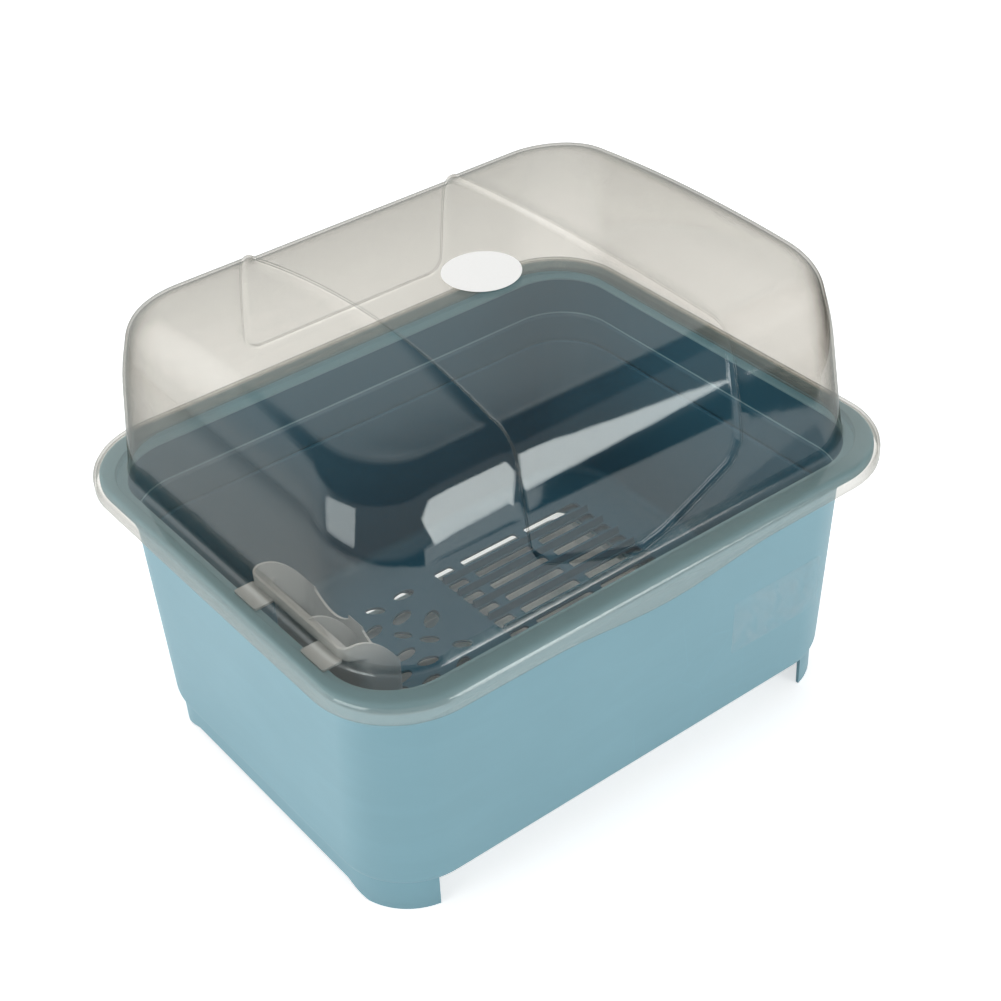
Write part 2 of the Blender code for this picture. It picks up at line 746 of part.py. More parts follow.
def make_basket(material):
    lip_underside = BASKET_TOP - BASKET_LIP_HEIGHT
    inner_round = BASKET_ROUNDING - BASKET_WALL
    rings = basket_rounding(BASKET_ROUNDING, 0.0, BASKET_FLOOR_UNDERSIDE)
    rings += [
        basket_ring(BASKET_FLOOR_UNDERSIDE + BASKET_ROUNDING, 0.0),
        basket_ring(lip_underside, 0.0),
        basket_ring(lip_underside, -BASKET_LIP),
        basket_ring(BASKET_TOP, -BASKET_LIP),
        basket_ring(BASKET_TOP, BASKET_WALL),
        basket_ring(BASKET_FLOOR_TOP + inner_round, BASKET_WALL),
    ]
    rings += basket_rounding(inner_round, BASKET_WALL, BASKET_FLOOR_TOP)[::-1]
    basket = add_object("drain_basket", loft("drain_basket", rings), material)
    combine(basket, make_pads(), "UNION")
    combine(basket, make_plate_ribs(), "UNION")
    combine(basket, make_holes(), "DIFFERENCE")
    return basket


def make_pads():
    """Round pads that stand the basket clear of the basin's floor."""
    half_x, half_y, _ = basin_half(BASKET_FLOOR_UNDERSIDE, BASIN_WALL + BASKET_GAP)
    low = BASIN_INSIDE + SEAT_GAP
    high = BASKET_FLOOR_UNDERSIDE + ROOT
    meshes = []
    for side_x in (-1, 1):
        for side_y in (-1, 1):
            x = side_x * (half_x - BASKET_PAD_INSET)
            y = side_y * (half_y - BASKET_PAD_INSET)
            outline = ellipse(x, y, BASKET_PAD_RADIUS, BASKET_PAD_RADIUS, 0)
            meshes.append(prism("pad", outline, low, high, upright))
    return add_object("basket_pads", joined("basket_pads", meshes))


def slot_field():
    """Start and length of each slot in a row, from the middle to the right."""
    spans = []
    start = SLOT_FIELD_START
    for length in (SLOT_SHORT, SLOT_LONG, SLOT_LONG):
        spans.append((start, length))
        start += length + SLOT_LAND
    return spans


def slot_outline(start, y, length):
    """A slot that starts at an X place, with its four corners cut off."""
    half = SLOT_WIDTH / 2
    end = start + length
    points = []
    for x, inward_x in ((start, 1), (end, -1)):
        for v in (-1, 1):
            points.append((x + inward_x * SLOT_CORNER / 2, y + v * half))
            points.append((x, y + v * (half - SLOT_CORNER / 2)))
    order = (0, 4, 5, 7, 6, 2, 3, 1)
    return [points[i] for i in order]


def row_place(row):
    return (row - (HOLE_ROWS - 1) / 2) * HOLE_ROW_PITCH


def make_plate_ribs():
    """Low ribs between the rows of slots, which keep plates on edge."""
    spans = slot_field()
    start = spans[0][0]
    end = spans[-1][0] + spans[-1][1]
    meshes = []
    for row in range(HOLE_ROWS - 1):
        y = row_place(row) + HOLE_ROW_PITCH / 2
        foot = RIB_WIDTH / 2
        crest = foot * RIB_TOP_SHARE
        low = BASKET_FLOOR_TOP - ROOT
        high = BASKET_FLOOR_TOP + RIB_HEIGHT
        outline = [(y - foot, low), (y + foot, low), (y + crest, high), (y - crest, high)]
        meshes.append(prism("rib", outline, start, end, along_x))
    return add_object("plate_ribs", joined("plate_ribs", meshes))


def make_holes():
    """Long slots on the right and pebble-shaped holes on the left of the basket's floor."""
    low = BASKET_FLOOR_UNDERSIDE - OVERRUN
    high = BASKET_FLOOR_TOP + OVERRUN
    meshes = []
    for row in range(HOLE_ROWS):
        y = row_place(row)
        for start, length in slot_field():
            outline = slot_outline(start, y, length)
            meshes.append(prism("slot", outline, low, high, upright))
    for row in range(HOLE_ROWS):
        stagger = PEBBLE_STAGGER_SHARE * PEBBLE_PITCH * (row % 2)
        for column in range(PEBBLE_COLUMNS):
            number = row * PEBBLE_COLUMNS + column
            size = PEBBLE_SIZE_SHARES[number * 2 % len(PEBBLE_SIZE_SHARES)]
            turn = PEBBLE_TURNS[number * 3 % len(PEBBLE_TURNS)]
            x = -PEBBLE_FIELD_START - column * PEBBLE_PITCH - stagger
            half_length = PEBBLE_LENGTH / 2 * size
            half_width = PEBBLE_WIDTH / 2 * size
            outline = ellipse(x, row_place(row), half_length, half_width, turn)
            meshes.append(prism("pebble", outline, low, high, upright))
    return add_object("hole_cutter", joined("hole_cutter", meshes))


# Cutlery holder
def holder_side_x():
    """The holder's outermost face, where its collar stands just inside the basin's rim."""
    return HOLDER_RIM_GAP - basin_half(RIM_HEIGHT, BASIN_WALL)[0]


def wave_height(share):
    """Height of a cross wall's top at a share of the collar's width, from the rim side inwards."""
    crest = RIM_HEIGHT + WAVE_CREST
    if share < WAVE_CREST_SHARE:
        return crest - (WAVE_CREST - WAVE_START) * (1 - share / WAVE_CREST_SHARE) ** 2
    along = (share - WAVE_CREST_SHARE) / (1 - WAVE_CREST_SHARE)
    return crest - WAVE_FALL * along**2


def make_holder(material):
    length = HOLDER_FAR_POCKET + HOLDER_NEAR_POCKET
    centre_y = HOLDER_FAR_END - length / 2
    divider_y = HOLDER_FAR_END - HOLDER_FAR_POCKET
    side = holder_side_x()
    inner_side = side + COLLAR_LEAN + HOLDER_WIDTH
    top = RIM_HEIGHT + WAVE_CREST
    collar_top = CHANNEL_HEIGHT
    collar_foot = collar_top - COLLAR_HEIGHT

    def holder_ring(height, inset, lean):
        narrowing = HOLDER_DRAFT_SHARE * (top - height) + inset
        half_x = (HOLDER_WIDTH + lean) / 2
        centre = Vector((inner_side - half_x, centre_y, 0))
        radius = HOLDER_CORNER - inset
        points = ring(half_x - narrowing, length / 2 - narrowing, radius, height)
        return [point + centre for point in points]

    half_wall = HOLDER_WALL / 2
    rings = [
        holder_ring(HOLDER_BOTTOM, 0.0, 0.0),
        holder_ring(collar_foot, 0.0, 0.0),
        holder_ring(collar_top, 0.0, COLLAR_LEAN),
        holder_ring(top, 0.0, COLLAR_LEAN),
        holder_ring(top, HOLDER_WALL, COLLAR_LEAN),
        holder_ring(collar_top + half_wall, HOLDER_WALL, COLLAR_LEAN),
        holder_ring(collar_foot + half_wall, HOLDER_WALL, 0.0),
        holder_ring(HOLDER_BOTTOM + HOLDER_WALL, HOLDER_WALL, 0.0),
    ]
    holder = add_object("cutlery_holder", loft("cutlery_holder", rings), material)
    combine(holder, make_divider(divider_y, collar_foot), "UNION")
    combine(holder, make_wave_cutter(centre_y, length), "DIFFERENCE")
    combine(holder, make_scallop_cutter(divider_y), "DIFFERENCE")
    combine(holder, make_hooks(centre_y), "UNION")
    combine(holder, make_holder_slots(centre_y, length, divider_y), "DIFFERENCE")
    return holder


def make_divider(divider_y, collar_foot):
    """The wall between the two pockets, with a lower wave than the cross walls."""
    half_wall = HOLDER_WALL / 2
    side = holder_side_x()
    crease = side + COLLAR_LEAN
    inner_side = crease + HOLDER_WIDTH
    sunk = HOLDER_BOTTOM + half_wall
    narrow = HOLDER_DRAFT_SHARE * (RIM_HEIGHT + WAVE_CREST - HOLDER_BOTTOM) + half_wall
    outline = [(crease + narrow, sunk), (inner_side - narrow, sunk)]
    seat_x = crease - COLLAR_LEAN * DIVIDER_SEAT_SHARE
    width = inner_side - side
    start_share = (seat_x - side) / width
    for step in range(WAVE_STEPS + 1):
        share = 1 - (1 - start_share) * step / WAVE_STEPS
        x = min(side + share * width, inner_side - half_wall)
        outline.append((x, wave_height(share) - DIVIDER_DROP))
    outline.append((crease + half_wall, collar_foot + half_wall))
    mesh = prism("divider_guide", outline, divider_y - half_wall, divider_y + half_wall, along_y)
    return add_object("divider_guide", mesh)


def make_wave_cutter(centre_y, length):
    """Everything above the wave that the tops of the cross walls follow."""
    outline = []
    start = holder_side_x()
    width = COLLAR_LEAN + HOLDER_WIDTH
    for step in range(WAVE_STEPS + 1):
        share = step / WAVE_STEPS
        outline.append((start + share * width, wave_height(share)))
    ceiling = RIM_HEIGHT + WAVE_CREST + OVERRUN
    outline[0] = (start - OVERRUN, outline[0][1])
    outline[-1] = (outline[-1][0] + OVERRUN, outline[-1][1])
    outline.append((outline[-1][0], ceiling))
    outline.append((start - OVERRUN, ceiling))
    near = centre_y - length / 2 - OVERRUN
    far = centre_y + length / 2 + OVERRUN
    return add_object("wave_cutter", prism("wave_cutter", outline, near, far, along_y))


def make_scallop_cutter(divider_y):
    """Dips in the inner long wall, one over each pocket."""
    meshes = []
    wall = wave_height(1)
    outer = holder_side_x() + COLLAR_LEAN + HOLDER_WIDTH + OVERRUN
    inner = outer - OVERRUN - HOLDER_WALL - OVERRUN
    for side, pocket in ((1, HOLDER_FAR_POCKET), (-1, HOLDER_NEAR_POCKET)):
        centre = divider_y + side * pocket / 2
        half = pocket / 2 - HOLDER_CORNER
        outline = []
        for step in range(WAVE_STEPS + 1):
            angle = math.pi * step / WAVE_STEPS
            dip = SCALLOP_DEPTH * math.sin(angle) ** 2
            outline.append((centre - half * math.cos(angle), wall - dip))
        outline.append((centre + half, wall + SCALLOP_DEPTH))
        outline.append((centre - half, wall + SCALLOP_DEPTH))
        meshes.append(prism("scallop", outline, inner, outer, along_x))
    return add_object("scallop_cutter", joined("scallop_cutter", meshes))


def make_hooks(centre_y):
    """Two flat tabs that lie in the channel of the basin's rim."""
    outer = HOOK_GAP - basin_half(RIM_HEIGHT, BASIN_WALL)[0] - CHANNEL_WIDTH
    inner = holder_side_x() + HOLDER_WALL / 2
    low = CHANNEL_HEIGHT + SEAT_GAP
    meshes = []
    for side in (-1, 1):
        y = centre_y + side * HOOK_SPREAD / 2
        outline = rectangle((outer + inner) / 2, y, (inner - outer) / 2, HOOK_WIDTH / 2)
        meshes.append(prism("hook", outline, low, low + HOOK_THICKNESS, upright))
    return add_object("hook_guides", joined("hook_guides", meshes))


def make_holder_slots(centre_y, length, divider_y):
    """Drain slots across the holder's bottom."""
    centre_x = holder_side_x() + COLLAR_LEAN + HOLDER_WIDTH / 2
    half = HOLDER_WIDTH / 2 - HOLDER_SLOT_MARGIN
    count = int((length - 2 * HOLDER_SLOT_MARGIN) / HOLDER_SLOT_PITCH)
    meshes = []
    for number in range(count):
        y = centre_y + (number - (count - 1) / 2) * HOLDER_SLOT_PITCH
        if abs(y - divider_y) < HOLDER_SLOT_WIDTH:
            continue
        outline = oblong(centre_x, y, half, HOLDER_SLOT_WIDTH / 2)
        low = HOLDER_BOTTOM - OVERRUN
        high = HOLDER_BOTTOM + HOLDER_WALL + OVERRUN
        meshes.append(prism("holder_slot", outline, low, high, upright))
    return add_object("holder_slot_cutter", joined("holder_slot_cutter", meshes))


# Drip tray
def make_tray(material):
    base = TRAY_GROUND_GAP
    top = base + TRAY_HEIGHT

    def tray_ring(height, inset):
        narrowing = TRAY_RIM + inset + TRAY_DRAFT_SHARE * (top - height)
        return ring(TRAY_HALF_X - narrowing, TRAY_HALF_Y - narrowing, TRAY_CORNER - narrowing, height)

    rings = [
        tray_ring(base, 0.0),
        tray_ring(top - TRAY_WALL, 0.0),
        ring(TRAY_HALF_X, TRAY_HALF_Y, TRAY_CORNER, top - TRAY_WALL),
        ring(TRAY_HALF_X, TRAY_HALF_Y, TRAY_CORNER, top),
        tray_ring(top, TRAY_WALL),
        tray_ring(base + TRAY_WALL, TRAY_WALL),
    ]
    tray = add_object("drip_tray", loft("drip_tray", rings), material)
    reach = TRAY_HALF_Y + TRAY_PULL_REACH
    inner = TRAY_HALF_Y - TRAY_RIM / 2
    half = TRAY_PULL_WIDTH / 2
    outline = rounded_rectangle(0, -(reach + inner) / 2, half, (reach - inner) / 2, (reach - inner) / 2)
    pull = prism("pull_guide", outline, top - TRAY_WALL, top, upright)
    combine(tray, add_object("pull_guide", pull), "UNION")
    return tray


def make_rails(material):
    high = FOOT_HEIGHT - SEAT_GAP
    low = high - RAIL_DEPTH
    for name, side in (("tray_rail_left", -1), ("tray_rail_right", 1)):
        centre = side * (TRAY_HALF_X + RAIL_SIDE_GAP + RAIL_WALL / 2)
        outline = rectangle(centre, 0, RAIL_WALL / 2, RAIL_LENGTH / 2)
        add_object(name, prism(name, outline, low, high, upright), material)


def main():
    clear_scene()
    teal = plastic("teal plastic", (0.165, 0.342, 0.402), 0.4)
    smoke = plastic("smoky clear plastic", (0.52, 0.50, 0.47), 0.08, 0.35)
    deep_teal = plastic("deep teal plastic", (0.12, 0.27, 0.33), 0.4)
    frosted = plastic("frosted plastic", (0.72, 0.72, 0.69), 0.45, 0.7)
    white = plastic("white plastic", (0.80, 0.80, 0.78), 0.4)
    paper = plastic("label paper", (0.86, 0.86, 0.85), 0.5)
    film = plastic("label film", (0.60, 0.72, 0.75), 0.2, 0.4)
    make_basin(teal)
    make_front_label(film)
    make_lid(smoke)
    make_lid_label(paper)
    make_basket(deep_teal)
    make_holder(frosted)
    make_tray(white)
    make_rails(teal)


main()
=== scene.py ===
"""Covered dish drainer, drawn over its packed frame and laid out as an add-on.

Each operator makes one piece, or one group of like pieces, in metres with +Z up and the origin on
the ground under the middle. The sizes and colours come from the property groups."""
import math

import bmesh
import bpy
import numpy as np
from bpy.props import FloatProperty, FloatVectorProperty, IntProperty, PointerProperty
from mathutils import Matrix, Vector


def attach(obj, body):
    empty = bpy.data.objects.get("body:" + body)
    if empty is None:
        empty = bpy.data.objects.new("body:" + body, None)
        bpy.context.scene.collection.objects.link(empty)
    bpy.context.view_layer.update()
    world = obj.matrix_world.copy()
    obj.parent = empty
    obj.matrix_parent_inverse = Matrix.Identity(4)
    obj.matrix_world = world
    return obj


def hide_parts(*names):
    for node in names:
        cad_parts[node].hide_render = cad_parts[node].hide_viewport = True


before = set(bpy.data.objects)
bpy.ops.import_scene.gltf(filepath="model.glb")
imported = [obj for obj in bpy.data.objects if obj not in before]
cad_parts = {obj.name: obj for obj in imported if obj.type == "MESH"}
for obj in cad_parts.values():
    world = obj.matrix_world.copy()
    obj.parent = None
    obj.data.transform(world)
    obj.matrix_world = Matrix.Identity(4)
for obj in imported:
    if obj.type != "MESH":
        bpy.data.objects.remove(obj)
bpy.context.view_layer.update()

bl_info = {
    "name": "Covered dish drainer",
    "version": (1, 0, 0),
    "blender": (4, 5, 0),
    "location": "3D View > Sidebar > Drainer",
    "description": "Makes a covered dish drainer with its lid, basket, cutlery holder and drip tray",
    "category": "Add Mesh",
}

MM = 0.001

# Steps of a plan corner, of a long and a short side, of a softened edge and of a large rounding
CORNER_STEPS = 20
SIDE_STEPS = 12
SOFT_STEPS = 3
ROUND_STEPS = 12
SHARP_DEGREES = 40

# Corner radius of an end that looks round, as a share of half its width
NEARLY_ROUND = 0.98

# Refractive indices of the plastics and of label stock
PLASTIC_IOR = 1.49
LABEL_IOR = 1.45


def size(name, description, millimetres):
    return FloatProperty(name=name, description=description, default=millimetres * MM, unit="LENGTH")


def share(name, description, value):
    return FloatProperty(name=name, description=description, default=value, min=0.0, max=1.0)


def count(name, description, value):
    return IntProperty(name=name, description=description, default=value, min=1)


def linear(red, green, blue):
    """A colour given as it shows on a screen, from 0 to 255, as the light that it stands for."""
    shares = [channel / 255 for channel in (red, green, blue)]
    return tuple(s / 12.92 if s < 0.04 else ((s + 0.055) / 1.055) ** 2.4 for s in shares)


def colour(name, description, red, green, blue):
    return FloatVectorProperty(
        name=name, description=description, subtype="COLOR", size=3, min=0.0, max=1.0,
        default=linear(red, green, blue),
    )


class LidSizes(bpy.types.PropertyGroup):
    """Sizes of the dome lid"""

    length: size("Length", "Length over the lip", 430)
    depth: size("Depth", "Depth over the lip, front to back", 360)
    corner: size("Corner", "Plan radius of the lip's corners", 60)
    wall: size("Wall", "Thickness of the sheet", 1.8)
    flange: size("Flange height", "Height of the flange's top above the ground", 203.1)
    lip: size("Lip", "Height of the turned-down lip", 13)
    lip_flare: size("Lip flare", "How far the lip's lower edge flares inside", 0.6)
    lip_round: size("Lip rounding", "Rounding between flange and lip", 6)
    grip: size("Finger grip", "Extra drop of the lip in the middle of the front", 7)
    grip_half: size("Finger grip half width", "Half the width of that drop", 92)
    inset_x: size("Side flange", "Width of the flange at the short sides", 19.8)
    inset_y: size("Front flange", "Width of the flange at the long sides", 22)
    dome_corner: size("Dome corner", "Plan radius of the dome's corners", 49)
    side_height: size("Side height", "Height of the dome's sides over the flange", 119)
    dome_round: size("Top rounding", "Rounding between sides and top", 22)
    fillet: size("Base fillet", "Fillet where the dome meets the flange", 3)
    crown: size("Crown", "Rise of the top from its edge to its middle", 9.1)
    draft_x: share("Side draft", "Lean of the short sides, as a slope", 0.075)
    draft_y: share("Front draft", "Lean of the long sides, as a slope", 0.15)
    tighten: share("Corner tightening", "Share of the rounding that the corner radius loses", 0.5)
    saddle: size("Saddle depth", "Depth of the band that runs over the top", 1.8)
    slope: size("Saddle slope", "Width of the step at the band's edge", 3.2)
    half: size("Saddle half width", "Half the band's width at the sides", 82)
    waist: size("Saddle waist", "Half the band's width in the middle of the top", 76)
    bib: size("Bib height", "Height over the flange of the band's lowest point", 6)
    bib_round: size("Bib rounding", "Rounding of that lowest point", 5)
    bib_rise: share("Bib rise", "Slope of the band's lower edge on the front", 0.41)
    bib_corner: size("Bib corner", "Reach of the rounded lower corners of the band", 12)
    bead: size("Bead", "Height of the low bead along the band's edge", 0.9)
    bend_reach: size("Bend reach", "Height under the top rounding over which the walls bend inwards", 30)
    bend: share("Bend", "Lean of the walls at the top of this bend, in radians", 0.22)
    glint_reach: size("Glint reach", "Height over which the material's bump leans the walls further", 38)
    glint: share("Glint", "Lean that this bump adds at its top, as a slope", 0.32)


class BasinSizes(bpy.types.PropertyGroup):
    """Sizes of the basin"""

    height: size("Rim height", "Height of the rim above the ground", 201)
    half_x: size("Rim half length", "Half the rim's length", 210.8)
    half_y: size("Rim half depth", "Half the rim's depth", 175.8)
    corner: size("Rim corner", "Plan radius of the rim's corners", 55.8)
    over_x: size("Side overhang", "How far the rim stands out over the short walls", 12.2)
    over_y: size("Front overhang", "How far the rim stands out over the long walls", 18.4)
    roll: size("Rim roll", "Height of the rim's turned-down edge", 7)
    rim_round: size("Rim rounding", "Rounding of the rim's outer edge", 3)
    channel: size("Channel width", "Width of the channel round the opening", 7)
    channel_depth: size("Channel depth", "Depth of that channel", 5.5)
    wall_corner: size("Wall corner", "Plan radius of the wall at the rim", 45)
    foot_corner: size("Bottom corner", "Plan radius of the wall at the floor", 53)
    wall: size("Wall", "Thickness of the wall", 2.2)
    floor: size("Floor", "Thickness of the floor", 2.4)
    bottom_round: size("Bottom rounding", "Rounding between wall and floor", 7.5)
    draft_x: share("Side draft", "Lean of the short walls, as a slope", 0.006)
    draft_y: share("Front draft", "Lean of the long walls, as a slope", 0.052)
    step_at: size("Step height", "Height of the faint step under the rim", 168)
    step: size("Step", "How far the wall steps out there", 1.6)
    step_rise: size("Step rise", "Height over which it steps out", 3)
    foot: size("Foot height", "Height of the floor's underside", 23.5)
    windows: count("Windows", "Drain windows along the floor", 2)
    field_x: size("Window field length", "Length of the floor that the windows take", 284)
    field_y: size("Window field depth", "Depth of the floor that the windows take", 210)
    web: size("Window web", "Width of the bars between the windows", 14)
    window_corner: size("Window corner", "Plan radius of a window's corners", 14)
    skirt: size("Skirt wall", "Thickness of the feet and skirts", 2.4)
    skirt_inset: size("Skirt inset", "How far the feet stand in from the wall", 3.6)
    skirt_corner: size("Skirt corner", "Plan radius of the feet", 46)
    skirt_draft: size("Skirt draft", "How far the feet lean in", 0.5)
    long_arm: size("Long arm", "Length of a foot along the front", 36)
    short_arm: size("Short arm", "Length of a foot along the side", 32)
    foot_slope: size("Foot slope", "Length of the sloping end of a foot on the side", 20)
    clearance: size("Skirt clearance", "Height of the side skirts above the ground", 7)


class BasketSizes(bpy.types.PropertyGroup):
    """Sizes of the drain basket"""

    low: size("Underside", "Height of the floor's underside above the ground", 29.2)
    top: size("Top", "Height of the basket's edge above the ground", 146.2)
    gap: size("Gap", "Gap between basket and basin", 2.5)
    wall: size("Wall", "Thickness of the wall", 1.8)
    floor: size("Floor", "Thickness of the floor", 2)
    pad: size("Pad height", "Height of the pads that it stands on", 3)
    pad_radius: size("Pad radius", "Radius of a pad", 7)
    pad_inset: size("Pad inset", "Distance of a pad from the walls", 30)
    lip: size("Lip", "How far the lip stands out", 1.4)
    lip_height: size("Lip height", "Height of the lip", 3)
    bottom_round: size("Bottom rounding", "Rounding between wall and floor", 9)
    rows: count("Rows", "Rows of holes", 11)
    pitch: size("Row pitch", "Distance of the rows", 18)
    slot: size("Slot width", "Width of a slot", 11)
    slot_short: size("Short slot", "Length of the short slots", 16)
    slot_long: size("Long slot", "Length of the long slots", 52)
    slot_corner: size("Slot corner", "Plan radius of a slot's corners", 3)
    slot_start: size("First slot", "Distance of the first slot from the middle", 14)
    slot_land: size("Slot land", "Floor left between slots in a row", 8)
    pebbles: count("Pebble columns", "Pebble-shaped holes in a row", 5)
    pebble_pitch: size("Pebble pitch", "Distance of those holes along a row", 27)
    pebble_start: size("First pebble", "Distance of the first of them from the middle", 16)
    pebble_length: size("Pebble length", "Length of a pebble-shaped hole", 19)
    pebble_width: size("Pebble width", "Width of a pebble-shaped hole", 10)
    rib: size("Rib width", "Width of a plate rib at its foot", 5)
    rib_height: size("Rib height", "Height of a plate rib", 6)
    rib_top: share("Rib top", "Width of a rib's top as a share of its foot", 0.4)


class HolderSizes(bpy.types.PropertyGroup):
    """Sizes of the cutlery holder"""

    width: size("Width", "Width of the pockets", 30)
    far_end: size("Far end", "Place of the far end along the side", -11)
    far_pocket: size("Far pocket", "Length of the far pocket", 51)
    near_pocket: size("Near pocket", "Length of the near pocket", 50)
    wall: size("Wall", "Thickness of the wall", 1.6)
    corner: size("Corner", "Plan radius of the corners", 7)
    bottom: size("Bottom", "Height of its underside above the ground", 75)
    rim_gap: size("Rim gap", "Gap between its collar and the basin's wall", 9)
    draft: share("Draft", "Lean of the walls, as a slope", 0.01)
    lean: size("Collar lean", "How far the collar leans out", 11)
    collar: size("Collar height", "Height over which the collar leans out", 5)
    wave_start: size("Wave start", "Height of the end walls over the rim at the rim side", 3)
    crest: size("Wave crest", "Height of their crest over the rim", 4.2)
    fall: size("Wave fall", "How far they fall towards the inside", 33)
    crest_at: share("Crest place", "Place of the crest across the width", 0.16)
    divider_drop: size("Divider drop", "How much lower the divider stands", 11)
    divider_seat: share("Divider seat", "How far the divider reaches up the collar", 0.45)
    dip: size("Dip", "Depth of the dips in the inner wall", 7)
    hook: size("Tab width", "Width of a hanging tab", 24)
    hook_wall: size("Tab thickness", "Thickness of a hanging tab", 1.4)
    hook_spread: size("Tab spread", "Distance of the two tabs", 72)
    hook_gap: size("Tab gap", "Gap between a tab's end and the channel's side", 3)
    slot: size("Slot width", "Width of a drain slot", 4)
    slot_pitch: size("Slot pitch", "Distance of the drain slots", 9)
    slot_margin: size("Slot margin", "Floor left at the ends of the slots", 7)


class TraySizes(bpy.types.PropertyGroup):
    """Sizes of the drip tray"""

    length: size("Length", "Length", 300)
    depth: size("Depth", "Depth, front to back", 220)
    height: size("Height", "Height", 12)
    ground: size("Ground gap", "Gap under the tray", 0.3)
    wall: size("Wall", "Thickness of the wall", 1.6)
    corner: size("Corner", "Plan radius of the corners", 18)
    rim: size("Rim", "Width of the flat rim", 4)
    draft: share("Draft", "Lean of the walls, as a slope", 0.25)
    pull: size("Pull width", "Width of the pull at the front", 70)
    pull_reach: size("Pull reach", "How far the pull stands out", 6)
    ribs: count("Ribs", "Ribs on the tray's floor", 9)
    rib_pitch: size("Rib pitch", "Distance of the ribs", 28)
    rib: size("Rib width", "Width of a rib", 2.4)
    rib_height: size("Rib height", "Height of a rib", 0.8)
    rib_length: size("Rib length", "Length of a rib", 150)


class LabelSizes(bpy.types.PropertyGroup):
    """Sizes of the two bare labels"""

    thickness: size("Thickness", "Thickness of a label", 0.25)
    gap: size("Gap", "Gap under a label", 0.3)
    radius: size("Round label radius", "Radius of the label on the lid", 25)
    round_x: size("Round label place", "Place of its middle along the lid", 6)
    film_length: size("Film length", "Length of the film on the front", 78)
    film_height: size("Film height", "Height of that film", 44)
    film_x: size("Film place", "Place of its middle along the front", 120.4)
    film_z: size("Film height above ground", "Height of its middle", 97)
    film_corner: size("Film corner", "Radius of its corners", 2)


class Finishes(bpy.types.PropertyGroup):
    """Colours of the drainer's plastics and labels"""

    teal: colour("Basin plastic", "Greyish teal of the basin", 132, 176, 189)
    # The basin's material also paints this colour on the inside of its wall as shade.
    deep: colour("Basket plastic", "Darker teal of the basket", 50, 111, 137)
    smoke: colour("Lid tint", "Warm smoky tint of the lid", 104, 98, 90)
    # Painted veil: this pale colour on the lid's flange and lip stands in for reflected light and light
    # caught in the sheet.
    milk: colour("Lid edge", "Milky look of the lid's flange and lip", 206, 210, 206)
    frost: colour("Holder plastic", "Natural plastic of the holder", 230, 233, 234)
    white: colour("Tray plastic", "White of the drip tray", 242, 242, 240)
    paper: colour("Round label", "White paper", 244, 244, 242)
    film: colour("Film", "Clear film on the front", 224, 236, 240)


# Sockets in Python expressions
def operator(operation, swapped=False):
    """A method that adds one Math node, for a Python operator or a name of its own."""

    def apply(self, *others):
        values = (*others, self) if swapped else (self, *others)
        return self.finish.node("ShaderNodeMath", {"operation": operation}, dict(enumerate(values)))

    return apply


class Wire:
    """A shader socket that adds Math nodes when it is used in an expression."""

    def __init__(self, finish, socket):
        self.finish = finish
        self.socket = socket

    __add__ = __radd__ = operator("ADD")
    __sub__ = operator("SUBTRACT")
    __rsub__ = operator("SUBTRACT", swapped=True)
    __mul__ = __rmul__ = operator("MULTIPLY")
    __pow__ = operator("POWER")
    __gt__ = operator("GREATER_THAN")
    __lt__ = operator("LESS_THAN")
    __abs__ = operator("ABSOLUTE")
    highest = operator("MAXIMUM")

    def between(self, low, high):
        """0 below low, 1 above high and a smooth rise between them."""
        settings = {"interpolation_type": "SMOOTHSTEP", "clamp": True}
        values = {"Value": self, "From Min": low, "From Max": high, "To Min": 0.0, "To Max": 1.0}
        return self.finish.node("ShaderNodeMapRange", settings, values)


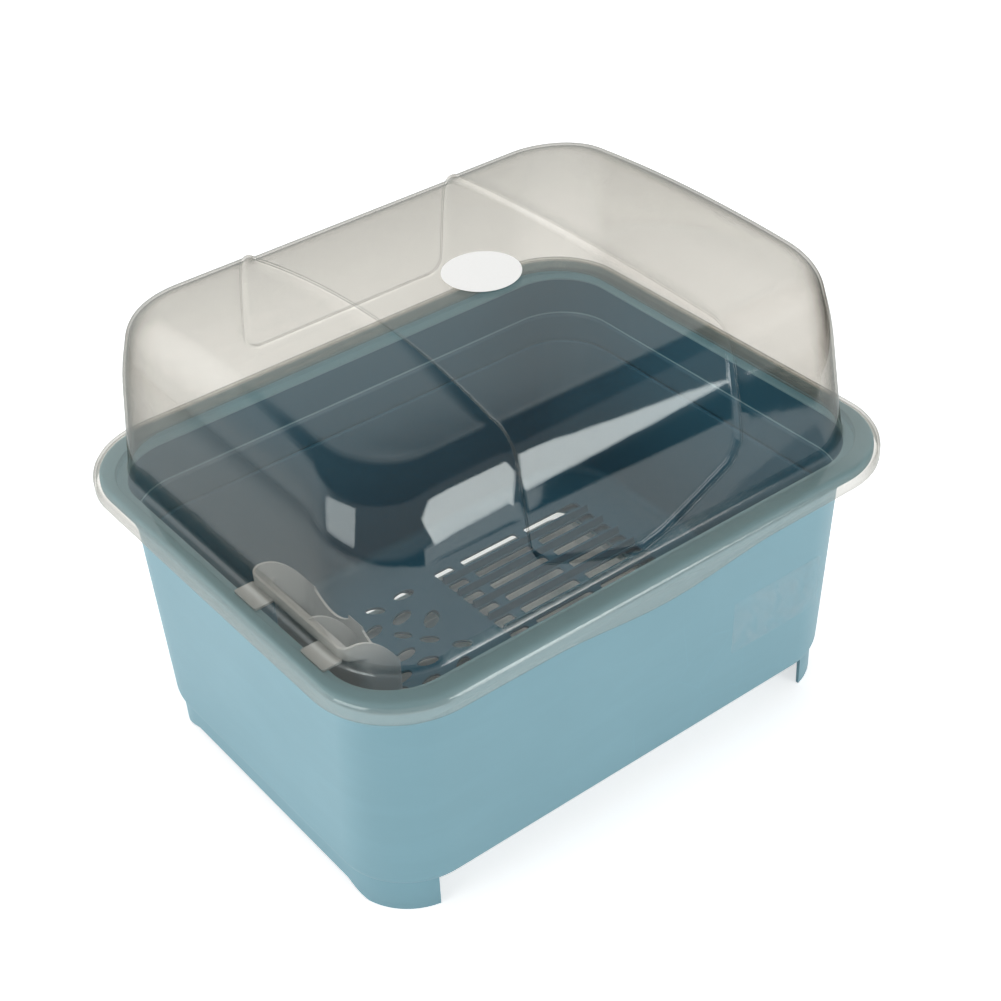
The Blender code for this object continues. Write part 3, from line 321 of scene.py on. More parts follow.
class Finish:
    """The nodes of a material or a world under construction."""

    def __init__(self, block):
        self.block = block
        block.use_nodes = True
        self.tree = block.node_tree
        self.tree.nodes.clear()

    def node(self, kind, settings=None, sockets=None, output=0):
        """Adds a node, sets its settings, then the values or links of its sockets."""
        node = self.tree.nodes.new(kind)
        for key, value in (settings or {}).items():
            setattr(node, key, value)
        for key, value in (sockets or {}).items():
            socket = next((one for one in node.inputs if one.identifier == key), None)
            socket = socket or node.inputs[key]
            if isinstance(value, Wire):
                self.tree.links.new(value.socket, socket)
            elif socket.type == "RGBA" and len(value) == 3:
                socket.default_value = (*value, 1.0)
            else:
                socket.default_value = value
        exit_socket = next((one for one in node.outputs if one.identifier == output), None)
        return Wire(self, exit_socket or node.outputs[output])

    def place(self, scale=(1.0, 1.0, 1.0)):
        """Object coordinates, scaled."""
        here = self.node("ShaderNodeTexCoord", output="Object")
        return self.node("ShaderNodeMapping", {}, {"Vector": here, "Scale": scale})

    def axes(self, vector):
        split = self.node("ShaderNodeSeparateXYZ", {}, {"Vector": vector}).socket.node
        return [Wire(self, socket) for socket in split.outputs]

    def noise(self, where, scale, detail=3.0, roughness=0.5, distortion=0.0):
        values = {"Vector": where, "Scale": scale, "Detail": detail, "Roughness": roughness}
        return self.node("ShaderNodeTexNoise", {}, {**values, "Distortion": distortion}, "Fac")

    def scratches(self, where, scale, turn, stretch=0.06, width=0.012):
        """Thin straight marks in a few patches: 1 on a mark and 0 beside it."""
        lines = {"Vector": where, "Rotation": (turn, turn, turn), "Scale": (1.0, stretch, 1.0)}
        stretched = self.node("ShaderNodeMapping", {}, lines)
        cells = self.node(
            "ShaderNodeTexVoronoi", {"feature": "DISTANCE_TO_EDGE"},
            {"Vector": stretched, "Scale": scale}, "Distance",
        )
        patches = self.noise(where, scale * 0.12, detail=2.0)
        return (1 - cells.between(0.0, width)) * patches.between(0.56, 0.62)

    def mix(self, factor, first, second):
        values = {"Factor_Float": factor, "A_Color": first, "B_Color": second}
        return self.node("ShaderNodeMix", {"data_type": "RGBA"}, values, "Result_Color")

    def tinted(self, base, factor):
        """A colour, plain or from a socket, made lighter or darker."""
        if not isinstance(base, Wire):
            return tuple(channel * factor for channel in base)
        settings = {"operation": "SCALE"}
        return self.node("ShaderNodeVectorMath", settings, {"Vector": base, "Scale": factor}, "Vector")

    def bump(self, height, strength, distance, below=None):
        """A bump as high as distance where the pattern is 1. below is a bump that it adds to."""
        values = {"Height": height, "Strength": strength, "Distance": distance}
        if below:
            values["Normal"] = below
        return self.node("ShaderNodeBump", {}, values)

    def surface(self, **values):
        """The plastic or paper shader, its sockets named with _ in place of spaces."""
        sockets = {key.replace("_", " "): value for key, value in values.items()}
        return self.node("ShaderNodeBsdfPrincipled", {}, sockets)

    def clear(self, tint):
        return self.node("ShaderNodeBsdfTransparent", {}, {"Color": tint})

    def blend(self, share, first, second):
        return self.node("ShaderNodeMixShader", {}, {0: share, 1: first, 2: second})

    def done(self, surface, kind="ShaderNodeOutputMaterial"):
        output = self.tree.nodes.new(kind)
        self.tree.links.new(surface.socket, output.inputs["Surface"])
        return self.block


# Materials
def painted_shade_inside(finish, basin):
    """Where the painted shade goes: 1 on the inner side of the basin's wall and on its floor, and 0 outside
    and on the rim.
    """
    x, y, z = finish.axes(finish.place())
    half_x, half_y, corner, _ = wall_row(basin, basin.height, basin.wall / 2)
    fall = basin.height - z
    widening = (basin.foot_corner - basin.wall_corner) / (basin.height - basin.foot)
    corner = corner + fall * widening
    past_x = (abs(x) - half_x + corner + basin.draft_x * fall).highest(0.0)
    past_y = (abs(y) - half_y + corner + basin.draft_y * fall).highest(0.0)
    stepped = (z < basin.step_at) * basin.step
    within = (past_x**2 + past_y**2) ** 0.5 + stepped < corner
    deep = within * (z > basin.foot + basin.floor / 2)
    return deep * (z < basin.height - basin.channel_depth - basin.wall / 2)


def moulded_plastic(name, base, roughness, grain_scale, grain, inner=None, basin=None):
    """Satin injection-moulded plastic: fine spark texture, faint flow marks and handling scuffs.
    inner is a darker colour painted inside the basin as shade, where the deep tub under the smoky lid lies
    in shade."""
    finish = Finish(bpy.data.materials.new(name))
    here = finish.place()
    # Painted shade: the inside of the basin takes the darker inner colour.
    if inner:
        base = finish.mix(painted_shade_inside(finish, basin), base, inner)
    streaks = finish.place(scale=(3.0, 3.0, 14.0))
    flow = finish.noise(streaks, scale=3.0, detail=4.0, roughness=0.55, distortion=1.2)
    cloud = finish.noise(here, scale=9.0, detail=2.0)
    spark = finish.noise(here, grain_scale, detail=1.0)
    scuff = finish.scratches(here, scale=22.0, turn=0.5)
    paler = finish.mix(flow.between(0.35, 0.7) * 0.5, base, finish.tinted(base, 1.07))
    mottled = finish.mix(cloud.between(0.3, 0.75) * 0.45, paler, finish.tinted(base, 0.94))
    marked = finish.mix(scuff * 0.10, mottled, finish.tinted(base, 1.45))
    rough = roughness + (cloud - 0.5) * 0.10 + (spark - 0.5) * 0.03 + scuff * 0.06
    textured = finish.bump(spark, grain, distance=0.4 * MM)
    dented = finish.bump(flow, 0.10, distance=1.2 * MM, below=textured)
    return finish.done(finish.surface(
        Base_Color=marked, Roughness=rough, Normal=dented, IOR=PLASTIC_IOR, Specular_IOR_Level=0.5,
    ))


def smoky_sheet(name, tint, pale, lid):
    """Thin clear sheet with a smoky tint, faint haze, dull patches and hairline marks. Its flange
    and lip get a pale painted veil for reflected and caught light, and a bump leans its walls inwards
    towards the top rounding."""
    finish = Finish(bpy.data.materials.new(name))
    here = finish.place()
    wave = finish.noise(finish.place(scale=(1.0, 1.0, 0.7)), scale=9.0, detail=2.0, roughness=0.4)
    ripple = finish.noise(here, scale=26.0, detail=2.0)
    dust = finish.noise(here, scale=900.0, detail=1.0)
    rubbed = finish.noise(here, scale=6.0, detail=4.0, roughness=0.6).between(0.5, 0.8)
    hair = finish.scratches(here, scale=30.0, turn=0.9)
    shade = finish.mix(rubbed * 0.4, tint, finish.tinted(tint, 1.25))
    z = finish.axes(here)[2]
    # Painted veil: the flange and the lip take a pale colour and extra haze that stand in for the bright
    # reflection and the light caught in the sheet there.
    painted_flange_veil = 1 - z.between(lid.flange + 0.5 * MM, lid.flange + 4.0 * MM)
    painted_lip_veil = 1 - z.between(lid.flange - 6.0 * MM, lid.flange - 2.0 * MM)
    shade = finish.mix(painted_flange_veil, shade, pale)
    marks = rubbed * 0.012 + dust.between(0.70, 0.78) * 0.01 + hair * 0.03
    # The haze is the sheet's own faint haze and marks, plus the painted veil on the flange and lip.
    haze = 0.022 + marks + painted_flange_veil * 0.04 + painted_lip_veil * 0.07
    rough = 0.05 + rubbed * 0.03 + hair * 0.10
    high = lid.flange + lid.side_height - lid.dome_round
    low = high - lid.glint_reach
    lean = -lid.glint / 2 / (high - low)
    bulge = ((z - low).highest(0.0) ** 2 - (z - high).highest(0.0) ** 2) * lean
    bent = finish.bump(bulge, 1.0, distance=1.0)
    wavy = finish.bump(wave, 0.35, distance=1.6 * MM, below=bent)
    skin = finish.bump(ripple, 0.12, distance=0.8 * MM, below=wavy)
    slant = finish.node("ShaderNodeLayerWeight", {}, {"Blend": 0.5}, "Facing")
    straight = finish.clear(tint=(0.955, 0.947, 0.929))
    slanted = finish.clear(tint=(0.30, 0.27, 0.23))
    clear = finish.blend(slant**2.5, straight, slanted)
    milk = finish.surface(
        Base_Color=shade, Roughness=0.4, IOR=PLASTIC_IOR, Specular_IOR_Level=0.0, Normal=skin,
    )
    body = finish.blend(haze, clear, milk)
    shine = {"Color": (0.89, 0.97, 0.975), "Roughness": rough, "Normal": skin}
    gloss = finish.node("ShaderNodeBsdfGlossy", {}, shine)
    return finish.done(finish.blend(0.042 + slant**5 * 0.45, body, gloss))


def frosted_plastic(name, base):
    """Natural milky plastic with a fine frost, cloudy patches and faint scuffs."""
    finish = Finish(bpy.data.materials.new(name))
    here = finish.place()
    frost = finish.noise(here, scale=1400.0, detail=2.0, roughness=0.6)
    cloud = finish.noise(here, scale=14.0)
    scuff = finish.scratches(here, scale=40.0, turn=0.2)
    shade = finish.mix(cloud.between(0.3, 0.7) * 0.4, base, finish.tinted(base, 0.92))
    milk = 0.80 + (cloud - 0.5) * 0.08 + scuff * 0.1
    skin = finish.bump(frost, 0.15, distance=0.3 * MM)
    rough = 0.42 + (frost - 0.5) * 0.1
    return finish.done(finish.surface(
        Base_Color=shade, Roughness=rough, Alpha=milk, Normal=skin, IOR=PLASTIC_IOR,
    ))


def label_stock(name, base, alpha, roughness, fibre):
    """Bare label stock: paper fibre or clear film, with slight lifting marks."""
    finish = Finish(bpy.data.materials.new(name))
    here = finish.place()
    pulp = finish.noise(here, scale=700.0, detail=4.0, roughness=0.65)
    wrinkle = finish.noise(here, scale=60.0, detail=2.0, distortion=0.8)
    shade = finish.mix(pulp.between(0.3, 0.7) * 0.35, base, finish.tinted(base, 0.93))
    opacity = alpha + (wrinkle - 0.5) * 0.25 * (1.0 - alpha)
    rough = roughness + (pulp - 0.5) * 0.12
    skin = finish.bump(wrinkle, 0.25, 0.5 * MM, below=finish.bump(pulp, fibre, 0.2 * MM))
    return finish.done(finish.surface(
        Base_Color=shade, Roughness=rough, Alpha=opacity, Normal=skin, IOR=LABEL_IOR,
    ))


# Plain meshes
def ring(half_x, half_y, radius, height, middle_x=0.0, middle_y=0.0):
    """A rounded rectangle, counter-clockwise from above, starting at the front right corner."""
    arcs = []
    for side_x, side_y, start in ((1, -1, -90), (1, 1, 0), (-1, 1, 90), (-1, -1, 180)):
        angle = np.radians(start + 90 * np.arange(CORNER_STEPS + 1) / CORNER_STEPS)
        x = middle_x + side_x * (half_x - radius) + radius * np.cos(angle)
        y = middle_y + side_y * (half_y - radius) + radius * np.sin(angle)
        arcs.append(np.column_stack([x, y, np.full(len(angle), height)]))
    points = []
    for arc, following in zip(arcs, arcs[1:] + arcs[:1]):
        way = np.arange(1, SIDE_STEPS)[:, None] / SIDE_STEPS
        points += [arc, arc[-1] * (1 - way) + following[0] * way]
    return np.concatenate(points)


def soften(path):
    """Rounds the corners of a profile. Each row has its numbers and how far before and after it
    the curve reaches, measured over half length and height, and may name its own step count."""
    rows = []
    for number, (row, reach, *steps) in enumerate(path):
        corner = np.array(row, dtype=float)
        if not reach:
            rows.append(corner)
            continue
        before = np.array(path[number - 1][0]) - corner
        after = np.array(path[number + 1][0]) - corner
        ends = []
        for way in (before, after):
            span = math.hypot(way[0], way[3])
            ends.append(corner + way * min(0.5, reach / span))
        for place in np.linspace(0.0, 1.0, (steps[0] if steps else SOFT_STEPS) + 1):
            first = (1 - place) ** 2 * ends[0]
            rows.append(first + 2 * place * (1 - place) * corner + place**2 * ends[1])
    return rows


def solid(name, points, faces):
    mesh = bpy.data.meshes.new(name)
    mesh.from_pydata([tuple(point) for point in points], [], faces)
    mesh.update()
    return mesh


def loft(name, rings, closed=False):
    """Bridges a chain of rings, and either closes the chain or caps its two ends."""
    around = len(rings[0])
    faces = []
    for number in range(len(rings) if closed else len(rings) - 1):
        low = number * around
        high = (number + 1) % len(rings) * around
        for i in range(around):
            j = (i + 1) % around
            faces.append((low + i, low + j, high + j, high + i))
    if not closed:
        last = (len(rings) - 1) * around
        faces.append(tuple(range(around))[::-1])
        faces.append(tuple(range(last, last + around)))
    return solid(name, np.concatenate(rings), faces)


def prism(name, outline, low, high, lift):
    """A prism on an outline of (u, v) pairs. lift(u, v, w) places a point."""
    points = [lift(u, v, low) for u, v in outline] + [lift(u, v, high) for u, v in outline]
    around = len(outline)
    faces = [(i, (i + 1) % around, (i + 1) % around + around, i + around) for i in range(around)]
    faces += [tuple(range(around))[::-1], tuple(range(around, 2 * around))]
    mesh = solid(name, points, faces)
    turned = bmesh.new()
    turned.from_mesh(mesh)
    bmesh.ops.recalc_face_normals(turned, faces=turned.faces)
    turned.to_mesh(mesh)
    turned.free()
    return mesh


def along_x(u, v, w):
    return (w, u, v)


def along_y(u, v, w):
    return (u, w, v)


def upright(u, v, w):
    return (u, v, w)


def box_outline(low_u, high_u, low_v, high_v):
    return [(low_u, low_v), (high_u, low_v), (high_u, high_v), (low_u, high_v)]


def show(name, data):
    item = bpy.data.objects.new(name, data)
    bpy.context.scene.collection.objects.link(item)
    return item


def plain_mesh(item, helpers=()):
    """The evaluated object as a mesh of its own. The object and its helpers are removed."""
    bpy.context.view_layer.update()
    evaluated = item.evaluated_get(bpy.context.evaluated_depsgraph_get())
    mesh = bpy.data.meshes.new_from_object(evaluated)
    for old in (item, *helpers):
        bpy.data.objects.remove(old, do_unlink=True)
    return mesh


def carved(name, base, steps):
    """Adds and cuts a chain of closed meshes, each with UNION or DIFFERENCE."""
    body = show(name, base)
    helpers = []
    for mesh, operation in steps:
        helper = show(name + "_helper", mesh)
        modifier = body.modifiers.new(operation.title(), "BOOLEAN")
        modifier.operation = operation
        modifier.solver = "EXACT"
        modifier.object = helper
        helpers.append(helper)
    return plain_mesh(body, helpers)


def piece(name, mesh, material, body, node, sharp=SHARP_DEGREES):
    """Makes a finished piece that rides on a body and stands for a node."""
    mesh.name = name
    mesh.shade_smooth()
    mesh.set_sharp_from_angle(angle=math.radians(sharp))
    mesh.materials.clear()
    mesh.materials.append(material)
    item = show(name, mesh)
    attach(item, body)
    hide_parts(node)


# Patterns that repeat
class Pattern:
    """A Geometry Nodes tree under construction."""

    def __init__(self, name, inputs):
        self.tree = bpy.data.node_groups.new(name, "GeometryNodeTree")
        self.entry = self.tree.nodes.new("NodeGroupInput")
        self.keys = {}
        for label, kind, default in inputs:
            socket = self.tree.interface.new_socket(label, in_out="INPUT", socket_type=kind)
            if default is not None:
                socket.default_value = default
            self.keys[label] = socket.identifier
        self.tree.interface.new_socket("Geometry", in_out="OUTPUT", socket_type="NodeSocketGeometry")

    def given(self, label):
        return self.entry.outputs[label]

    def add(self, kind, settings=None, sockets=None, output=0):
        node = self.tree.nodes.new(kind)
        for key, value in (settings or {}).items():
            setattr(node, key, value)
        for key, value in (sockets or {}).items():
            socket = node.inputs[key]
            for one in value if isinstance(value, list) else [value]:
                if isinstance(one, bpy.types.NodeSocket):
                    self.tree.links.new(one, socket)
                else:
                    socket.default_value = one
        return node.outputs[output]

    def maths(self, operation, first, second):
        return self.add("ShaderNodeMath", {"operation": operation}, {0: first, 1: second})

    def across(self, axis, value):
        return self.add("ShaderNodeCombineXYZ", {}, {axis: value})

    def standing(self, profile, height):
        """A closed prism on a flat closed curve."""
        flat = self.add("GeometryNodeFillCurve", {}, {"Curve": profile})
        bottom = self.add("GeometryNodeFlipFaces", {}, {"Mesh": flat})
        upwards = {"Mesh": flat, "Offset Scale": height, "Individual": False}
        walls = self.add("GeometryNodeExtrudeMesh", {}, upwards)
        both = self.add("GeometryNodeJoinGeometry", {}, {"Geometry": [bottom, walls]})
        return self.add("GeometryNodeMergeByDistance", {}, {"Geometry": both, "Distance": 1e-6})

    def grid(self):
        """Points in rows and columns, centred on the origin."""
        lines = []
        for axis, number, pitch in (("X", "Columns", "Column pitch"), ("Y", "Rows", "Row pitch")):
            steps = self.maths("SUBTRACT", self.given(number), 1.0)
            reach = self.maths("MULTIPLY", steps, self.given(pitch))
            start = self.maths("MULTIPLY", reach, -0.5)
            values = {"Count": self.given(number), "Start Location": self.across(axis, start)}
            values["Offset"] = self.across(axis, self.given(pitch))
            lines.append(self.add("GeometryNodeMeshLine", {}, values))
        crossed = self.add("GeometryNodeInstanceOnPoints", {}, {"Points": lines[1], "Instance": lines[0]})
        return self.add("GeometryNodeRealizeInstances", {}, {"Geometry": crossed})

    def finished(self, points, shape, **turn_and_scale):
        """Puts the shape on the points, real, in its place and with its material."""
        values = {"Points": points, "Instance": shape, **turn_and_scale}
        copies = self.add("GeometryNodeInstanceOnPoints", {}, values)
        real = self.add("GeometryNodeRealizeInstances", {}, {"Geometry": copies})
        place = {"Geometry": real, "Translation": self.given("Place")}
        moved = self.add("GeometryNodeTransform", {}, place)
        painted = {"Geometry": moved, "Material": self.given("Material")}
        last = self.add("GeometryNodeSetMaterial", {}, painted)
        exit_node = self.tree.nodes.new("NodeGroupOutput")
        self.tree.links.new(last, exit_node.inputs["Geometry"])
        return self

    def grown(self, name, values):
        """The pattern as a plain mesh."""
        item = show(name, bpy.data.meshes.new(name))
        modifier = item.modifiers.new(name, "NODES")
        modifier.node_group = self.tree
        for label, value in values.items():
            modifier[self.keys[label]] = value
        return plain_mesh(item)


COMMON_INPUTS = [
    ("Place", "NodeSocketVector", (0.0, 0.0, 0.0)),
    ("Material", "NodeSocketMaterial", None),
    ("Columns", "NodeSocketInt", 1),
    ("Rows", "NodeSocketInt", 1),
    ("Column pitch", "NodeSocketFloat", 0.01),
    ("Row pitch", "NodeSocketFloat", 0.01),
    ("Length", "NodeSocketFloat", 0.01),
    ("Width", "NodeSocketFloat", 0.01),
    ("Height", "NodeSocketFloat", 0.01),
]


def opening_pattern():
    """Upright prisms on rounded rectangles, in rows and columns."""
    pattern = Pattern("Openings", COMMON_INPUTS + [("Corner", "NodeSocketFloat", 0.001)])
    sides = {"Width": pattern.given("Length"), "Height": pattern.given("Width")}
    profile = pattern.add("GeometryNodeCurvePrimitiveQuadrilateral", {"mode": "RECTANGLE"}, sides)
    rounding = {"Curve": profile, "Radius": pattern.given("Corner"), "Count": 8}
    rounded = pattern.add("GeometryNodeFilletCurve", {"mode": "POLY"}, rounding)
    shape = pattern.standing(rounded, pattern.given("Height"))
    return pattern.finished(pattern.grid(), shape)


def pebble_pattern():
    """Upright oval prisms in staggered rows, each of its own size and turn, from a fixed seed."""
    pattern = Pattern("Pebbles", COMMON_INPUTS + [
        ("Stagger", "NodeSocketFloat", 0.01),
        ("Seed", "NodeSocketInt", 7),
        ("Spread", "NodeSocketFloat", 0.3),
    ])
    outline = {"Resolution": 28, "Radius": 0.5}
    circle = pattern.add("GeometryNodeCurvePrimitiveCircle", {"mode": "RADIUS"}, outline)
    lengths = {"X": pattern.given("Length"), "Y": pattern.given("Width"), "Z": 1.0}
    sides = pattern.add("ShaderNodeCombineXYZ", {}, lengths)
    oval = pattern.add("GeometryNodeTransform", {}, {"Geometry": circle, "Scale": sides})
    shape = pattern.standing(oval, pattern.given("Height"))
    grid = pattern.grid()
    index = pattern.add("GeometryNodeInputIndex")
    row = pattern.maths("FLOOR", pattern.maths("DIVIDE", index, pattern.given("Columns")), 0.0)
    odd = pattern.maths("MODULO", row, 2.0)
    shift = pattern.across("X", pattern.maths("MULTIPLY", odd, pattern.given("Stagger")))
    seed = pattern.given("Seed")
    spread = pattern.given("Spread")
    loose = pattern.add(
        "FunctionNodeRandomValue", {"data_type": "FLOAT_VECTOR"},
        {"Min": (-3 * MM, -2 * MM, 0.0), "Max": (3 * MM, 2 * MM, 0.0), "Seed": seed},
    )
    moved = pattern.add("ShaderNodeVectorMath", {"operation": "ADD"}, {0: shift, 1: loose})
    staggered = pattern.add("GeometryNodeSetPosition", {}, {"Geometry": grid, "Offset": moved})

    def between(low, high):
        return pattern.add("FunctionNodeRandomValue", {}, {2: low, 3: high, "Seed": seed}, 1)

    turn = pattern.across("Z", between(-0.9, 0.9))
    low = pattern.maths("SUBTRACT", 1.0, spread)
    high = pattern.maths("ADD", 1.0, pattern.maths("MULTIPLY", spread, 0.4))
    width = between(low, high)
    scale = pattern.add("ShaderNodeCombineXYZ", {}, {"X": width, "Y": width, "Z": 1.0})
    return pattern.finished(staggered, shape, Rotation=turn, Scale=scale)


def rib_pattern():
    """Ribs along X with sloping flanks and rounded tops, side by side."""
    pattern = Pattern("Ribs", COMMON_INPUTS + [("Top width", "NodeSocketFloat", 0.001)])
    sides = {
        "Bottom Width": pattern.given("Width"), "Top Width": pattern.given("Top width"),
        "Height": pattern.given("Height"), "Offset": 0.0,
    }
    profile = pattern.add("GeometryNodeCurvePrimitiveQuadrilateral", {"mode": "TRAPEZOID"}, sides)
    radius = pattern.maths("MULTIPLY", pattern.given("Top width"), 0.45)
    rounding = {"Curve": profile, "Radius": radius, "Count": 5}
    rounded = pattern.add("GeometryNodeFilletCurve", {"mode": "POLY"}, rounding)
    lying = pattern.standing(rounded, pattern.given("Length"))
    back = pattern.across("Z", pattern.maths("MULTIPLY", pattern.given("Length"), -0.5))
    centred = pattern.add("GeometryNodeTransform", {}, {"Geometry": lying, "Translation": back})
    along = {"Geometry": centred, "Rotation": (math.pi / 2, 0.0, math.pi / 2)}
    shape = pattern.add("GeometryNodeTransform", {}, along)
    return pattern.finished(pattern.grid(), shape)


# Lid
def bib_level(lid, x, front):
    """Height over the flange at which the band starts, on the front or elsewhere."""
    reach = np.abs(x) if front else lid.half
    return lid.bib - lid.bib_round + np.hypot(lid.bib_round, lid.bib_rise * reach)


def smooth(value):
    """0 up to 0, 1 from 1 on and a smooth rise between them."""
    within = np.clip(value, 0.0, 1.0)
    return within * within * (3 - 2 * within)


def band_depth(lid, near):
    """How deep the skin lies at a distance inside the band's edge: a low bead, then a step down."""
    bead = lid.bead * (1 - smooth(np.abs(near) * 2 / lid.slope))
    return lid.saddle * smooth(near / lid.slope) - bead


def bent_in(lid, level, draft):
    """How far a wall lies inside its plane at a height: first it runs straight and a little
    outside, then it bends over and meets the top rounding."""
    start = lid.side_height - lid.dome_round - lid.bend_reach
    end = lid.side_height - lid.dome_round * (1 - math.sin(lid.bend))
    goal = lid.dome_round * (1 - math.cos(lid.bend) - draft * math.sin(lid.bend))
    steepest = math.tan(lid.bend) - draft
    half_way = (end - start) / 2
    outward = (steepest * half_way - goal) / (end - half_way)
    return (steepest + outward) / 4 / half_way * np.maximum(level - start, 0.0) ** 2 - outward * level


def band_columns(half, outer, slope, corner):
    """X places from -outer to outer, close together where the band's edge steps down."""
    inner = np.array([0.0, 0.25, 0.5, 0.75, 1.0]) * (half - corner)
    edge = half - corner + np.linspace(0.0, 1.0, 7)[1:] * (corner - slope)
    step = half - slope + np.linspace(0.0, 1.0, 9)[1:] * slope
    crest = half + np.linspace(0.0, 1.0, 5)[1:] * slope / 2
    beyond = crest[-1] + (outer - crest[-1]) * np.array([0.12, 0.33, 0.55, 0.78])
    right = np.concatenate([inner, edge, step, crest, beyond])
    return np.concatenate([-right[:0:-1], right])


def lid_ring(lid, half_x, half_y, radius):
    """A ring of the lid at height 0: the front's columns, the right side, the back's columns and
    the left side."""
    corners = ring(half_x, half_y, radius, 0.0)
    arc = CORNER_STEPS + 1
    turn = arc + SIDE_STEPS - 1
    right = corners[: turn + arc]
    left = corners[2 * turn : 3 * turn + arc]
    columns = band_columns(lid.half, half_x - radius, lid.slope, lid.bib_corner)
    front = np.column_stack([columns, np.full(len(columns), -half_y), np.zeros(len(columns))])
    back = front[::-1] * (1, -1, 1)
    return np.concatenate([front, right, back, left])


def lid_counts(lid):
    """How many points of a lid ring lie along the front and along the right side."""
    front = len(band_columns(lid.half, lid.length, lid.slope, lid.bib_corner))
    return front, 2 * (CORNER_STEPS + 1) + SIDE_STEPS - 1


def flat_ring(lid, half_x, half_y, radius, height):
    points = lid_ring(lid, half_x, half_y, radius)
    points[:, 2] = height
    return points


def flange_ring(lid, inset, height):
    return flat_ring(lid, lid.length / 2 - inset, lid.depth / 2 - inset, lid.corner - inset, height)


def base_ring(lid, widening, height):
    half_x = lid.length / 2 - lid.inset_x + widening
    half_y = lid.depth / 2 - lid.inset_y + widening
    return flat_ring(lid, half_x, half_y, lid.dome_corner + widening, height)


def lip_ring(lid, inset, raise_by=0.0):
    """The lip's lower edge, which drops in the middle of the front as a finger grip."""
    points = flange_ring(lid, inset, lid.flange - lid.lip + raise_by)
    on_front = (points[:, 1] < 0) & (np.abs(points[:, 0]) < lid.grip_half)
    wave = np.cos(math.pi / 2 * points[:, 0] / lid.grip_half) ** 2
    points[:, 2] -= np.where(on_front, lid.grip * wave, 0.0)
    return points


def dome_ring(lid, rise, angle, under, lift=None):
    """A ring of the dome. rise is the height over the flange on the side wall, angle is how far
    the wall has turned into the top and under is the depth under the outer skin. lift puts the
    ring that far above the band's lower edge instead."""
    turned = lid.dome_round * (1 - math.cos(angle))
    climbed = lid.dome_round * math.sin(angle)
    edge_level = float(bib_level(lid, 0.0, False))
    level = rise if lift is None else edge_level + lift
    inset = turned + under * math.cos(angle)
    walled = angle == 0.0
    half_x = lid.length / 2 - lid.inset_x - lid.draft_x * level - inset
    half_x -= walled * bent_in(lid, level, lid.draft_x)
    half_y = lid.depth / 2 - lid.inset_y - lid.draft_y * level - inset
    half_y -= walled * bent_in(lid, level, lid.draft_y)
    radius = lid.dome_corner - turned * lid.tighten - under * math.cos(angle)
    points = lid_ring(lid, half_x, half_y, radius)
    count, span = lid_counts(lid)
    number = np.arange(len(points))
    in_front = number < count
    in_back = (number >= count + span) & (number < 2 * count + span)
    x = points[:, 0]
    bib = np.where(in_front, bib_level(lid, np.minimum(np.abs(x), lid.half), True), edge_level)
    height = np.full(len(points), rise) if lift is None else bib + lift
    from_side = lid.half - np.abs(x)
    from_below = (height - bib) / math.hypot(1.0, lid.bib_rise)
    reach = lid.bib_corner
    cornered = reach - np.hypot(np.maximum(reach - from_side, 0.0), np.maximum(reach - from_below, 0.0))
    in_corner = (from_side < reach) & (from_below < reach)
    near = np.where(in_corner, cornered, np.minimum(from_side, from_below))
    sunk = np.where(in_front | in_back, band_depth(lid, near), 0.0)
    depth = under + sunk
    wall_y = lid.depth / 2 - lid.inset_y - lid.draft_y * height - turned - depth * math.cos(angle)
    wall_y -= walled * bent_in(lid, height, lid.draft_y)
    points[:, 1] = np.where(in_front, -wall_y, np.where(in_back, wall_y, points[:, 1]))
    crown = lid.crown * (1 - (points[:, 1] / half_y) ** 2)
    points[:, 2] = lid.flange + height + climbed + math.sin(angle) * crown - depth * math.sin(angle)
    return points


# Heights of rings over the band's lower edge, in mm, close together where the skin steps, and
# of the rings above them, as shares of the wall that is left
STEP_LIFTS = (
    -2.1, -1.75, -1.2, -0.8, -0.4, 0.0, 0.4, 0.8, 1.2, 1.6,
    2.0, 2.4, 2.8, 3.2, 3.7, 4.5, 6.0, 8.0, 11.0, 15.0,
)
WALL_SHARES = (0.15, 0.3, 0.42, 0.54, 0.66, 0.78, 0.89)


def dome_rings(lid, under):
    """The dome's rings from its base to the edge of its top."""
    wall = lid.side_height - lid.dome_round
    low = float(bib_level(lid, 0.0, False)) + STEP_LIFTS[-1] * MM
    end = wall + lid.dome_round * math.sin(lid.bend)
    rings = [dome_ring(lid, 0.0, 0.0, under, lift * MM) for lift in STEP_LIFTS]
    for share_up in WALL_SHARES:
        rings.append(dome_ring(lid, low + (end - low) * share_up, 0.0, under))
    for step in range(ROUND_STEPS + 1):
        angle = lid.bend + (math.pi / 2 - lid.bend) * step / ROUND_STEPS
        rings.append(dome_ring(lid, wall, angle, under))
    return rings


def top_half_depth(lid):
    """Half the depth of the dome's top, where its rounding ends."""
    wall = lid.side_height - lid.dome_round
    return lid.depth / 2 - lid.inset_y - lid.draft_y * wall - lid.dome_round


